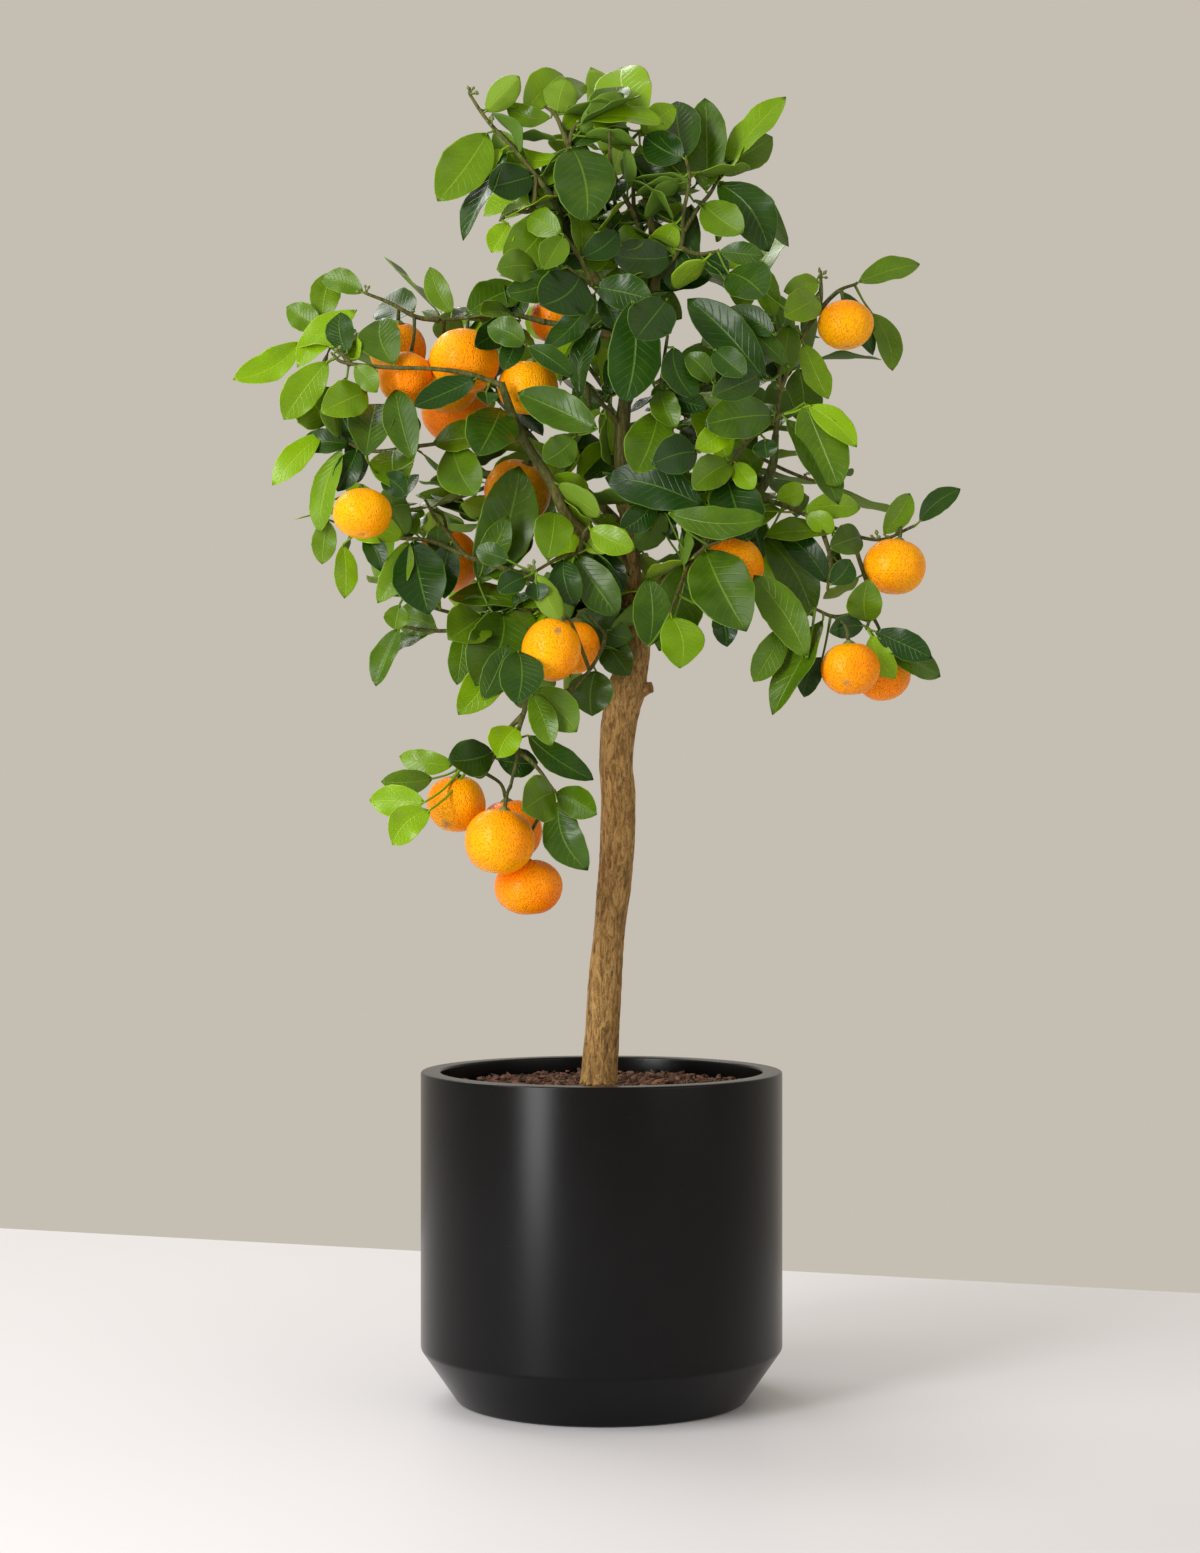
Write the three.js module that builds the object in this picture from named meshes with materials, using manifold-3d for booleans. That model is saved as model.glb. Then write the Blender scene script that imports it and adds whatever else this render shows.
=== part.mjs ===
// A potted calamondin: a small citrus tree with a bent trunk, a loose crown of leafy shoots and
// ripe fruit, standing in a plain black planter. Millimetres, +Z up, the origin is the centre of
// the planter's underside, and the tree's best side faces -Y.
import * as THREE from "three";
import { mergeVertices } from "three/addons/utils/BufferGeometryUtils.js";
import Module from "manifold-3d";

const wasm = await Module();
wasm.setup();

// Planter
const POT_RADIUS = 115;
const POT_HEIGHT = 208;
const POT_WALL = 4;
const POT_FLOOR = 5;
const RIM_WIDTH = 12.6; // how far the flat rim turns in
const RIM_DEPTH = 18; // how far the turned-in lip reaches down
const FOOT_RADIUS = 92;
const FOOT_HEIGHT = 33; // height of the sloping foot
const EDGE_ROUND = 1.5;
const DRAIN_HOLES = 3;
const DRAIN_RADIUS = 6;
const DRAIN_CIRCLE = 45;

// Growing mix
const MIX_DROP = 10; // how far its surface lies below the rim
const MIX_TOP = POT_HEIGHT - MIX_DROP;

// Wood and leaves
const TRUNK_BEND_DEPTH = 14; // how far behind the pot's axis the trunk leaves the mix
const WOOD_SCALE = 1; // thickness of all wood
const ROOTS = 4;
const ROOT_REACH = 62;
const ROOT_DROP = 84;
const ROOT_RADIUS = 5.5;
const LEAF_THICKNESS = 0.9;
const LEAF_SLENDERNESS = 1.7; // least length of a leaf in its own widths
const LEAF_NARROWEST = 2.4; // most length of a leaf in its own widths
const LEAF_WAIST = 0.5; // where along its length a leaf is widest
const LEAF_SCALE = 1; // size of all leaves
const LEAF_BREADTH = 1.15; // how much broader blades are than they look from the front
const PETIOLE_ROOT = 0.5; // how far a petiole is rooted behind its stem's axis
const LEAST_PETIOLE = 4;
const MOST_PETIOLE = 13; // a leaf farther from its stem gets a round stalk of its own
const STALK_RADIUS = 1.1;
const FRUIT_SCALE = 1; // size of all fruit

const GAP = 0.3; // clearance between pieces that touch
const POT_SIDES = 30;
const FRUIT_SIDES = 8;
const FRUIT_RINGS = 6;

// The tree is drawn as an eye in front of it sees it. A sketch point is [x, z] in the plane
// y = 0, and a piece that grows nearer or farther keeps its line of sight.
const VIEW_DISTANCE = 1840;
const EYE_HEIGHT = 372;

// The sketch has the growing mix at this height, and the tree goes up and down with its mix.
const SKETCH_MIX_TOP = 198;
const LIFT = MIX_TOP - SKETCH_MIX_TOP;

function place(x, z, depth) {
  const spread = (VIEW_DISTANCE + depth) / VIEW_DISTANCE;
  return new THREE.Vector3(x * spread, depth, EYE_HEIGHT + LIFT + (z - EYE_HEIGHT) * spread);
}

// Where a place in space stands in the sketch: [x, z, depth].
function sketched({ x, y, z }) {
  const spread = (VIEW_DISTANCE + y) / VIEW_DISTANCE;
  return [x / spread, EYE_HEIGHT + (z - LIFT - EYE_HEIGHT) / spread, y];
}

// ---- Solids ----

// A closed three.js geometry as a solid, faces out.
function solidOf(geometry) {
  const bare = geometry.clone();
  bare.deleteAttribute("normal");
  bare.deleteAttribute("uv");
  const merged = mergeVertices(bare, 1e-4);
  const vertProperties = merged.attributes.position.array;
  const triVerts = new Uint32Array(merged.index.array);
  const made = new wasm.Manifold(new wasm.Mesh({ numProp: 3, vertProperties, triVerts }));
  if (made.volume() > 0) return made;
  for (let i = 0; i < triVerts.length; i += 3) {
    [triVerts[i + 1], triVerts[i + 2]] = [triVerts[i + 2], triVerts[i + 1]];
  }
  return new wasm.Manifold(new wasm.Mesh({ numProp: 3, vertProperties, triVerts }));
}

function geometryOf(solid) {
  const { numProp, numVert, vertProperties, triVerts } = solid.getMesh();
  const positions = new Float32Array(numVert * 3);
  for (let i = 0; i < numVert; i++) {
    positions.set(vertProperties.subarray(i * numProp, i * numProp + 3), i * 3);
  }
  const geometry = new THREE.BufferGeometry();
  geometry.setAttribute("position", new THREE.BufferAttribute(positions, 3));
  geometry.setIndex(new THREE.BufferAttribute(triVerts, 1));
  geometry.computeVertexNormals();
  return geometry;
}

// The smooth path through some points and the centres of a stem's sections along it.
function stemPath(points, spacing) {
  const path = new THREE.CatmullRomCurve3(points);
  const steps = Math.max(1, Math.round(path.getLength() / spacing));
  return { path, steps, centres: path.getSpacedPoints(steps) };
}

// A round stem through points, with a radius at each of them.
function stemGeometry(points, radii, sides, spacing) {
  const { path, steps, centres } = stemPath(points, spacing);
  const section = new THREE.Shape();
  for (let i = 0; i < sides; i++) {
    const angle = (2 * Math.PI * i) / sides;
    if (i) section.lineTo(Math.cos(angle), Math.sin(angle));
    else section.moveTo(1, 0);
  }
  const geometry = new THREE.ExtrudeGeometry(section, { steps, extrudePath: path });
  const position = geometry.attributes.position;
  const point = new THREE.Vector3();
  for (let i = 0; i < position.count; i++) {
    point.fromBufferAttribute(position, i);
    const distances = centres.map((centre) => centre.distanceToSquared(point));
    const nearest = distances.indexOf(Math.min(...distances));
    const along = path.getUtoTmapping(nearest / steps) * (points.length - 1);
    const from = Math.min(Math.floor(along), points.length - 2);
    const radius = THREE.MathUtils.lerp(radii[from], radii[from + 1], along - from);
    point.sub(centres[nearest]).multiplyScalar(radius * WOOD_SCALE).add(centres[nearest]);
    position.setXYZ(i, point.x, point.y, point.z);
  }
  return geometry;
}

function stem(points, radii, sides, spacing) {
  return solidOf(stemGeometry(points, radii, sides, spacing));
}

// The same stem with the clearance added all round, to cut its neighbours with.
function stemRoom(points, radii, sides, spacing) {
  return stem(points, radii.map((radius) => radius + GAP), sides, spacing);
}

// The largest body of a cut solid: what a cut leaves on a stem's far side goes.
function mainBody(solid) {
  const bodies = solid.decompose();
  return bodies.reduce((best, body) => (body.volume() > best.volume() ? body : best));
}

// Whether two solids' boxes come within a distance of each other.
function near(a, b, distance) {
  const boxA = a.boundingBox();
  const boxB = b.boundingBox();
  return [0, 1, 2].every(
    (k) => boxA.min[k] - distance < boxB.max[k] && boxB.min[k] - distance < boxA.max[k],
  );
}

function clear(solid, others) {
  return others.every((other) => !near(solid, other, GAP) || solid.minGap(other, GAP) >= GAP);
}

// ---- Planter and growing mix ----

function lathe(profile, sides) {
  const points = profile.map(([radius, height]) => new THREE.Vector2(radius, height));
  const geometry = new THREE.LatheGeometry(points, sides);
  geometry.rotateX(Math.PI / 2);
  return solidOf(geometry);
}

const FOOT_LEAN = (POT_RADIUS - FOOT_RADIUS) / FOOT_HEIGHT;
const RIM_RADIUS = POT_RADIUS - RIM_WIDTH;
const INNER_RADIUS = POT_RADIUS - POT_WALL;

// Inside radius of the sloping foot at a height.
function footInside(height) {
  return FOOT_RADIUS + FOOT_LEAN * height - POT_WALL;
}

function planter() {
  const shoulder = FOOT_HEIGHT + POT_WALL * FOOT_LEAN;
  const shell = lathe(
    [
      [0, 0],
      [FOOT_RADIUS - EDGE_ROUND, 0],
      [FOOT_RADIUS + EDGE_ROUND * FOOT_LEAN, EDGE_ROUND],
      [POT_RADIUS - EDGE_ROUND * FOOT_LEAN, FOOT_HEIGHT - EDGE_ROUND],
      [POT_RADIUS, FOOT_HEIGHT + EDGE_ROUND],
      [POT_RADIUS, POT_HEIGHT - EDGE_ROUND],
      [POT_RADIUS - EDGE_ROUND, POT_HEIGHT],
      [RIM_RADIUS + EDGE_ROUND, POT_HEIGHT],
      [RIM_RADIUS, POT_HEIGHT - EDGE_ROUND],
      [RIM_RADIUS, POT_HEIGHT - RIM_DEPTH],
      [INNER_RADIUS, POT_HEIGHT - RIM_DEPTH],
      [INNER_RADIUS, shoulder],
      [footInside(POT_FLOOR), POT_FLOOR],
      [0, POT_FLOOR],
    ],
    POT_SIDES,
  );
  return drainHoles(DRAIN_RADIUS).reduce((pot, hole) => pot.subtract(hole), shell);
}

// Plugs on a circle round the middle, which keeps its own flat resting face.
function drainHoles(radius) {
  return Array.from({ length: DRAIN_HOLES }, (_, i) => {
    const angle = Math.PI / 2 + (2 * Math.PI * i) / DRAIN_HOLES;
    const plug = new THREE.CylinderGeometry(radius, radius, 4 * POT_FLOOR, 12);
    plug.rotateX(Math.PI / 2);
    plug.translate(DRAIN_CIRCLE * Math.cos(angle), DRAIN_CIRCLE * Math.sin(angle), 0);
    return solidOf(plug);
  });
}


function growingMix(roots) {
  const shoulder = FOOT_HEIGHT + POT_WALL * FOOT_LEAN;
  const mix = lathe(
    [
      [0, POT_FLOOR + GAP],
      [footInside(POT_FLOOR) - 2 * GAP, POT_FLOOR + GAP],
      [INNER_RADIUS - GAP, shoulder + GAP],
      [INNER_RADIUS - GAP, POT_HEIGHT - RIM_DEPTH - GAP],
      [RIM_RADIUS - GAP, POT_HEIGHT - RIM_DEPTH - GAP],
      [RIM_RADIUS - GAP, MIX_TOP],
      [0, MIX_TOP],
    ],
    POT_SIDES,
  );
  return mainBody(mix.subtract(roots));
}

// ---- Trunk and limbs ----

// Trunk and leader from the root crown to the cut top: [x, z, depth, radius] in the sketch.
const TRUNK = [
  [-2, SKETCH_MIX_TOP - 22, TRUNK_BEND_DEPTH, 14],
  [-1.8, SKETCH_MIX_TOP, TRUNK_BEND_DEPTH, 11.2],
  [1.8, 253, 12, 10.9],
  [5, 300, 11, 10.1],
  [8.7, 330, 11, 10.8],
  [10.6, 380, 10, 11.1],
  [9, 403, 10, 10.9],
  [11.6, 431, 9, 11.5],
  [15, 449, 8, 12.6],
  [21, 470, 7, 9.6],
  [22, 485, 6, 9.2],
  [22, 503, 4, 8],
  [19, 524, 2, 6.4],
  [18, 545, 0, 5.7],
  [13, 600, 0, 5],
  [15, 635, 0, 4.5],
  [22, 670, 0, 4],
  [33, 707, 0, 3.5],
  [33, 737, 0, 3],
  [28, 763, 0, 2.5],
];

// Short knobs left by pruned branches: [x, z, depth, radius, reach to the side].
const KNOBS = [
  [26, 451, 6, 5, 7],
  [9, 404, 9, 5, -8.5],
  [14, 505, 2, 3.4, -7],
];

// Woody limbs: what each grows from, its radius at each end, the depth of its far end, and its
// route in the sketch. Each starts on the axis of what bears it.
const LIMBS = {
  limb_right_long: {
    from: "trunk", radii: [4.4, 2.5], depth: -14, sides: 6,
    route: [[30, 500], [48, 527], [69, 549], [92, 566], [108, 590], [111, 613]],
  },
  limb_left_long: {
    from: "trunk", radii: [4.5, 2.6], depth: -34, sides: 6,
    route: [[19, 522], [5, 539], [-19, 557], [-33, 584], [-52, 614], [-64, 646]],
  },
  limb_left_low: {
    from: "trunk", radii: [3.8, 2.2], depth: -22, sides: 6,
    route: [[14, 508], [-10, 512], [-35, 519], [-60, 527]],
  },
  limb_hanging: {
    from: "trunk", radii: [2.9, 2], depth: -46, sides: 6,
    route: [[16, 492], [-15, 490], [-25, 485], [-40, 465], [-48, 441]],
  },
  limb_left_high: {
    from: "trunk", radii: [2.9, 2], depth: 6, sides: 6,
    route: [[22, 668], [0, 678], [-20, 682], [-37, 685]],
  },
  limb_crown_left: {
    from: "trunk", radii: [3, 1.9], depth: -16, sides: 6,
    route: [[20, 662], [5, 698], [-10, 722], [-19, 737], [-30, 761], [-37, 772]],
  },
  limb_back_left: {
    from: "trunk", radii: [3.4, 2], depth: 92, sides: 6,
    route: [[18, 548], [-2, 570], [-28, 592], [-50, 618]],
  },
  limb_back_right: {
    from: "trunk", radii: [3.4, 2], depth: 96, sides: 6,
    route: [[14, 580], [30, 606], [52, 630], [72, 648]],
  },
  limb_back_top: {
    from: "trunk", radii: [2.6, 1.8], depth: 66, sides: 6,
    route: [[28, 690], [20, 712], [12, 736]],
  },
};

// ---- Fruit ----

// Every fruit: [x, z, depth, radius across, radius up], numbered in this order.
const FRUITS = [
  [-87.5, 660, -12, 22.5, 21],
  [-98, 646, 32, 20, 20],
  [-93, 629, 72, 22, 22],
  [-47, 643, -8, 19.5, 18],
  [-130, 667, 20, 18.5, 18.5],
  [-125, 649, -14, 17.5, 17.5],
  [-152.3, 563, -60, 19, 16.5],
  [-53.5, 576.5, 22, 21.5, 21.5],
  [-98, 532.5, 14, 20.5, 20.5],
  [-29, 687, 34, 16.5, 16.5],
  [-32, 476, -84, 19, 20.5],
  [-19, 478, -42, 18, 18],
  [155.5, 683, -6, 18, 16],
  [84, 529, -34, 19.5, 19.5],
  [186.5, 529, -22, 20, 18.5],
  [158.5, 464, -62, 19, 17.5],
  [179, 461, -24, 18, 18],
  [-92.5, 378, -45, 19, 18.7],
  [-65, 354, -78, 22.5, 22],
  [-58, 361, -34, 20.5, 20.5],
  [-46.5, 325, -54, 22, 18.5],
];

// ---- Shoots ----

// Leafy shoots. Stems are sketch routes with the depth of their far end: the first starts on
// what bears the shoot, each later one on the shoot's own stems. fruit lists the fruits that
// hang on it. A leaf is [base x, base z, tip x, tip z, width], all as seen in the sketch, and
// may end with 1 where its tip leans to the front or -1 where it leans back.
const SHOOTS = {
  shoot_top_left: {
    from: "limb_crown_left",
    stems: [
      { route: [[-36, 770], [-55, 794], [-70, 810], [-77, 819], [-84, 830]], depth: -8 },
      { route: [[-31, 762], [-44, 757], [-56, 755], [-64, 750]], depth: -32 },
    ],
    leaves: [
      [-71, 820, -53, 841, 15, 1], [-80, 803, -104, 762, 26],
      [-64, 789, -87, 737, 13], [-66, 791, -95, 763, 14], [-40, 780, -72, 770, 20],
      [-60, 761, -70, 729, 14],
      [-29, 753, -60, 718, 26],
    ],
  },
  shoot_top: {
    from: "limb_crown_left",
    stems: [
      { route: [[-30, 761], [-27, 780], [-21, 797], [-18, 808], [-10, 813]], depth: -10 },
      { route: [[-22, 797], [-29, 816], [-36, 822]], depth: 4 },
    ],
    leaves: [
      [-21, 796, -9.5, 749, 33], [-49, 819, -26, 842, 20], [-37, 808, -22, 839, 18],
      [-30, 815, -12, 836, 14], [-26, 808, -8, 819, 14], [-10, 813, 39, 810, 13],
      [-28, 790, -66, 796, 12, -1], [-33, 812, -60, 822, 12],
    ],
  },
  shoot_crest: {
    from: "trunk",
    stems: [
      { route: [[32, 722], [22, 750], [20, 775], [18, 797], [26, 808]], depth: 6 },
      { route: [[20, 752], [12, 770], [6, 786], [5, 806]], depth: -22 },
    ],
    leaves: [
      [34, 812, 14, 846, 33], [1, 777, 9, 761, 14],
      [10, 747, -27, 720, 22], [23, 742, 8, 730, 14],
      [22, 791, 48, 769, 15], [24, 803, 47, 822, 15], [18, 790, 0, 816, 13, -1],
    ],
  },
  shoot_crown_right: {
    from: "trunk",
    stems: [
      { route: [[34, 708], [50, 732], [52, 753], [56, 775], [54, 788]], depth: -14 },
      { route: [[52, 742], [62, 758], [70, 768], [77, 783]], depth: 14 },
      { route: [[50, 732], [62, 728], [74, 730]], depth: -40 },
    ],
    leaves: [
      [54, 789, 48, 824, 24], [52, 788, 28, 803, 20], [62, 768, 66, 826, 21],
      [80, 790, 117, 827, 16], [78, 788, 108, 802, 20],
      [76, 772, 106, 730, 24], [82, 771, 118, 733, 14], [66, 760, 90, 741, 20],
      [45, 705, 55, 750, 21], [74, 730, 103, 727, 12],
      [60, 729, 81, 717, 12], [42, 729, 6, 728, 21], [82, 715, 104, 700, 24],
    ],
  },
  shoot_left_high: {
    from: "limb_left_high",
    stems: [
      { route: [[-36, 685], [-57, 689.5], [-73, 689], [-90, 687], [-108, 686]], depth: 8 },
      { route: [[-104, 688], [-118, 688], [-135, 697], [-150, 703]], depth: 0 },
    ],
    fruit: [5, 2],
    leaves: [
      [-51, 675, -81, 669, 15, 1, -38], [-94, 694, -109, 719, 13],
      [-119, 678, -138, 699, 24],
      [-48, 690, -61, 703, 16], [-150, 704, -178, 712, 13],
    ],
  },
  shoot_left_tip: {
    from: "limb_left_long",
    stems: [
      { route: [[-64, 645], [-86, 652], [-108, 655], [-138, 656], [-164, 659], [-171, 664]], depth: -38 },
      { route: [[-160, 658], [-170, 672], [-178, 682]], depth: 10 },
    ],
    fruit: [1, 6],
    leaves: [
      [-193, 671, -234, 648, 17], [-181, 686, -171, 716, 16], [-157, 691, -193, 656, 17],
      [-181, 660, -202, 623, 19], [-150, 640, -179, 627, 20], [-163, 653, -143, 640, 12],
      [-160, 665, -166, 690, 15], [-147, 668, -160, 669, 12], [-172, 684, -200, 694, 15],
      [-132, 654, -140, 686, 22], [-62, 650, -73, 632, 12], [-79, 645, -119, 631, 15, 1],
    ],
  },
  shoot_left_mid: {
    from: "limb_left_long",
    stems: [
      { route: [[-50, 609], [-70, 607], [-90, 609], [-115, 606], [-150, 603], [-174, 618]], depth: -12 },
      { route: [[-118, 606], [-130, 592], [-142, 588]], depth: -36 },
    ],
    leaves: [
      [-174, 618, -193, 641, 25, 1], [-183, 610, -209, 581, 14], [-154, 605, -167, 629, 16],
      [-144, 631, -149, 604, 24], [-131, 640, -122, 604, 18], [-170, 600, -179, 551, 15],
      [-157, 602, -168, 577, 14], [-131, 607, -128, 577, 22], [-149, 588, -124, 573, 13],
      [-97, 601, -80, 574, 23], [-65, 628, -79, 599, 27],
      [-158, 603, -190, 608, 13, -1],
    ],
  },
  shoot_left_inner: {
    from: "trunk",
    stems: [
      { route: [[13, 618], [-10, 645], [-23, 657], [-48, 670]], depth: -62 },
      { route: [[-10, 643], [-8, 626], [-16, 612]], depth: -58 },
    ],
    fruit: [4],
    leaves: [
      [-52, 639, -12, 621, 20], [-11, 612, -37, 596, 17], [-48, 669, -19, 650, 12],
      [0, 680, -10, 645, 12], [5, 632, -18, 642, 13],
      [4, 613, -12, 627, 14], [-62.5, 654, -56, 672, 12], [-44, 672, -72, 682, 15],
    ],
  },
  shoot_centre: {
    from: "trunk",
    stems: [
      { route: [[20, 530], [33, 557], [36, 590], [38, 645], [42, 676]], depth: -48 },
      { route: [[37, 600], [50, 606], [62, 602]], depth: -56 },
    ],
    leaves: [
      [19.5, 695, 15, 634, 27], [41, 698, 22, 674, 24], [30, 630, 22, 588, 25],
      [64, 597, 32, 594, 20], [41, 643, 47, 617, 15], [51, 685, 59, 636, 17],
      [44, 640, 68, 630, 12], [4, 585, 55, 570, 24],
      [34, 572, 12, 552, 15],
    ],
  },
  shoot_upper_centre: {
    from: "trunk",
    stems: [
      { route: [[22, 668], [8, 690], [-4, 706], [-22, 720]], depth: -52 },
      { route: [[-6, 708], [-14, 726], [-24, 740]], depth: -44 },
    ],
    fruit: [10],
    leaves: [
      [-5, 719, -39, 695, 29], [-7, 702, -36, 667, 15], [-6, 708, 32, 699, 19],
      [-5, 682, -15, 660, 13], [-5, 700, 9, 680, 12], [-41, 719, -67, 718, 17],
      [-29, 718, -61, 703, 16], [-23, 741, -37, 718, 15], [-23, 744, -46, 752, 15],
      [-10, 726, 10, 742, 15, -1],
    ],
  },
  shoot_left_low: {
    from: "limb_left_low",
    stems: [
      { route: [[-60, 527], [-86, 535.6], [-108, 545], [-126, 547], [-148, 549], [-160, 556]], depth: -20 },
      { route: [[-88, 537], [-98, 550], [-106, 560], [-112, 571]], depth: -6 },
    ],
    fruit: [7, 9],
    leaves: [
      [-175, 560, -178, 531, 13],
      [-165, 543, -164, 509, 12], [-155, 547, -140, 526, 12],
      [-124, 545, -142, 506, 15], [-120, 547, -110, 499, 28], [-93, 548, -100, 509, 16],
      [-101, 562, -103, 537, 12],
      [-60, 560, -74, 530, 15, -1],
    ],
  },
  shoot_left_under: {
    from: "limb_hanging",
    stems: [
      { route: [[-15, 490], [-40, 502], [-64, 499], [-82, 497], [-108, 503], [-127, 512]], depth: -34 },
      { route: [[-66, 499], [-84, 490], [-106, 488], [-128, 491]], depth: -22 },
    ],
    leaves: [
      [-127, 522, -132, 489, 13], [-131, 492, -143, 453, 13], [-103, 492, -132, 497, 17],
      [-100, 498, -122, 521, 12, 1], [-78, 500, -98, 482, 24], [-53, 591, -74, 530, 30],
      [-41, 505, -96, 508, 13], [-64, 499, -80, 453, 32], [-86, 487, -92, 454, 13],
      [-66, 474, -91, 435, 20],
    ],
  },
  shoot_hanging: {
    from: "limb_hanging",
    stems: [
      { route: [[-47, 444], [-54, 420], [-54, 407], [-58, 389]], depth: -56 },
      { route: [[-50, 436], [-60, 424], [-69, 407], [-77, 395], [-88, 402]], depth: -46 },
      { route: [[-55, 412], [-42, 402], [-30, 386]], depth: -60 },
    ],
    fruit: [18, 19, 20, 21],
    leaves: [
      [-107, 394, -140, 392, 13], [-112, 379, -147, 380, 16, -1], [-109, 374, -133, 352, 17],
      [-73, 417, -98, 405, 20], [-57, 436, -66, 407, 17], [-71, 397, -41, 404, 15],
      [-26, 381, -51, 373, 24], [-27, 381, -3, 371, 16], [-30, 374, -9, 336, 20],
      [-41, 421, -6, 393, 14], [-96, 396, -128, 408, 13, -1],
    ],
  },
  shoot_below: {
    from: "limb_hanging",
    stems: [
      { route: [[-8, 492], [2, 487], [-3, 470], [-18, 450]], depth: -86 },
      { route: [[-18, 450], [-36, 448], [-54, 456]], depth: -92 },
    ],
    fruit: [11, 12],
    leaves: [
      [-14, 478, -6, 434, 23], [-14, 485, 18, 460, 17], [-15, 501, 20, 483, 18],
      [-53, 474, -54, 441, 22], [-45, 449, -16, 424, 19], [-48, 443, -32, 415, 14],
      [-60, 478, -72, 452, 14],
    ],
  },
  shoot_fork: {
    from: "limb_left_long",
    stems: [
      { route: [[2, 541], [-12, 538], [-26, 535], [-42, 526]], depth: -54 },
      { route: [[-14, 538], [-12, 548], [-8, 555]], depth: -40 },
    ],
    fruit: [8],
    leaves: [
      [-17, 539, 10, 498, 20], [-3, 540, 14, 513, 14], [-25, 536, -17, 504, 17],
      [-41, 521, -26, 494, 13], [-53, 529, -66, 512, 13], [-36, 532, -30, 563, 20],
      [-50, 530, -41, 507, 12], [-9, 554, 21, 540, 15],
      [-57, 532, -80, 540, 12, -1],
    ],
  },
  shoot_right_high: {
    from: "limb_right_long",
    stems: [
      { route: [[111, 612], [113, 640], [113, 666], [111, 684]], depth: -20 },
      { route: [[115, 640], [127, 673], [139, 695], [139.7, 716]], depth: 8 },
      { route: [[137, 690], [150, 704], [162, 709]], depth: 28 },
    ],
    fruit: [13],
    leaves: [
      [56, 698, 96, 656, 22], [84, 687, 112, 662, 13],
      [82, 693, 104, 680, 14], [115, 690, 101, 720, 13], [138, 712, 116, 704, 13],
      [138, 701, 116, 688, 18], [162, 709, 202, 721, 14],
      [116, 648, 119, 682, 15], [129, 672, 144, 636, 14], [154, 703, 172, 664, 13, 1],
      [172, 690, 185, 654, 14],
    ],
  },
  shoot_right_inner: {
    from: "limb_right_long",
    stems: [
      { route: [[48, 525], [62, 538], [73, 572], [80, 590], [93, 608], [115, 626]], depth: -42 },
      { route: [[92, 606], [84, 618], [78, 634], [72, 645]], depth: -56 },
    ],
    leaves: [
      [110, 634, 66, 619, 23], [99, 650, 76, 640, 16], [72, 667, 92, 650, 15],
      [82, 617, 60, 603, 14], [79, 600, 58, 578, 18], [86, 595, 97, 578, 12],
      [82, 587, 93, 545, 28], [130, 631, 151, 580, 25], [132, 631, 162, 605, 14],
      [122, 618, 150, 569, 18], [97, 622, 106, 598, 13], [72, 648, 54, 664, 13],
    ],
  },
  shoot_right_low: {
    from: "limb_right_long",
    stems: [
      { route: [[98, 574], [116, 568], [130, 562], [147, 554], [176, 546], [199, 554.8]], depth: -16 },
      { route: [[138, 557], [146, 533], [144, 515]], depth: -40 },
    ],
    fruit: [15],
    leaves: [
      [105, 545, 134, 498, 21], [114, 551, 139, 524, 15],
      [104, 566, 128, 580, 13], [126, 565, 164, 566, 14], [124, 558, 148, 551, 12],
      [166, 548, 145, 541, 17], [204, 561, 228, 578, 12], [145, 510, 158, 533, 13],
      [176, 552, 196, 575, 13, -1],
    ],
  },
  shoot_right_hang: {
    from: "shoot_right_low",
    stems: [
      { route: [[160, 550], [164, 534], [170, 515], [172, 500], [169, 490]], depth: -46 },
      { route: [[171, 502], [150, 497], [136, 502]], depth: -58 },
    ],
    fruit: [16, 17],
    leaves: [
      [117, 490, 97, 456, 15], [141, 488, 110, 435, 14], [141, 472, 129, 446, 13],
      [165, 492, 170, 520, 18, 1], [163, 492, 145, 487, 12],
      [175, 482, 210, 471, 15], [181, 478, 215, 459, 14, -1], [169, 481, 187, 458, 14, 1],
      [98, 522, 125, 480, 20],
    ],
  },
  shoot_right_under: {
    from: "limb_right_long",
    stems: [
      { route: [[50, 530], [60, 536], [66, 541], [75, 545]], depth: -66 },
      { route: [[56, 534], [50, 516], [44, 500]], depth: -60 },
    ],
    fruit: [14],
    leaves: [
      [53, 532, 37, 476, 27], [45, 490, 50, 464, 22], [30, 520, 30, 486, 20],
      [65, 541, 92, 488, 33], [104, 559, 54, 562, 17],
      [42, 546, 40, 571, 12], [22, 540, 36, 557, 16, -1], [50, 542, 57, 566, 12],
      [75, 503, 80, 478, 13],
    ],
  },
};

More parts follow.
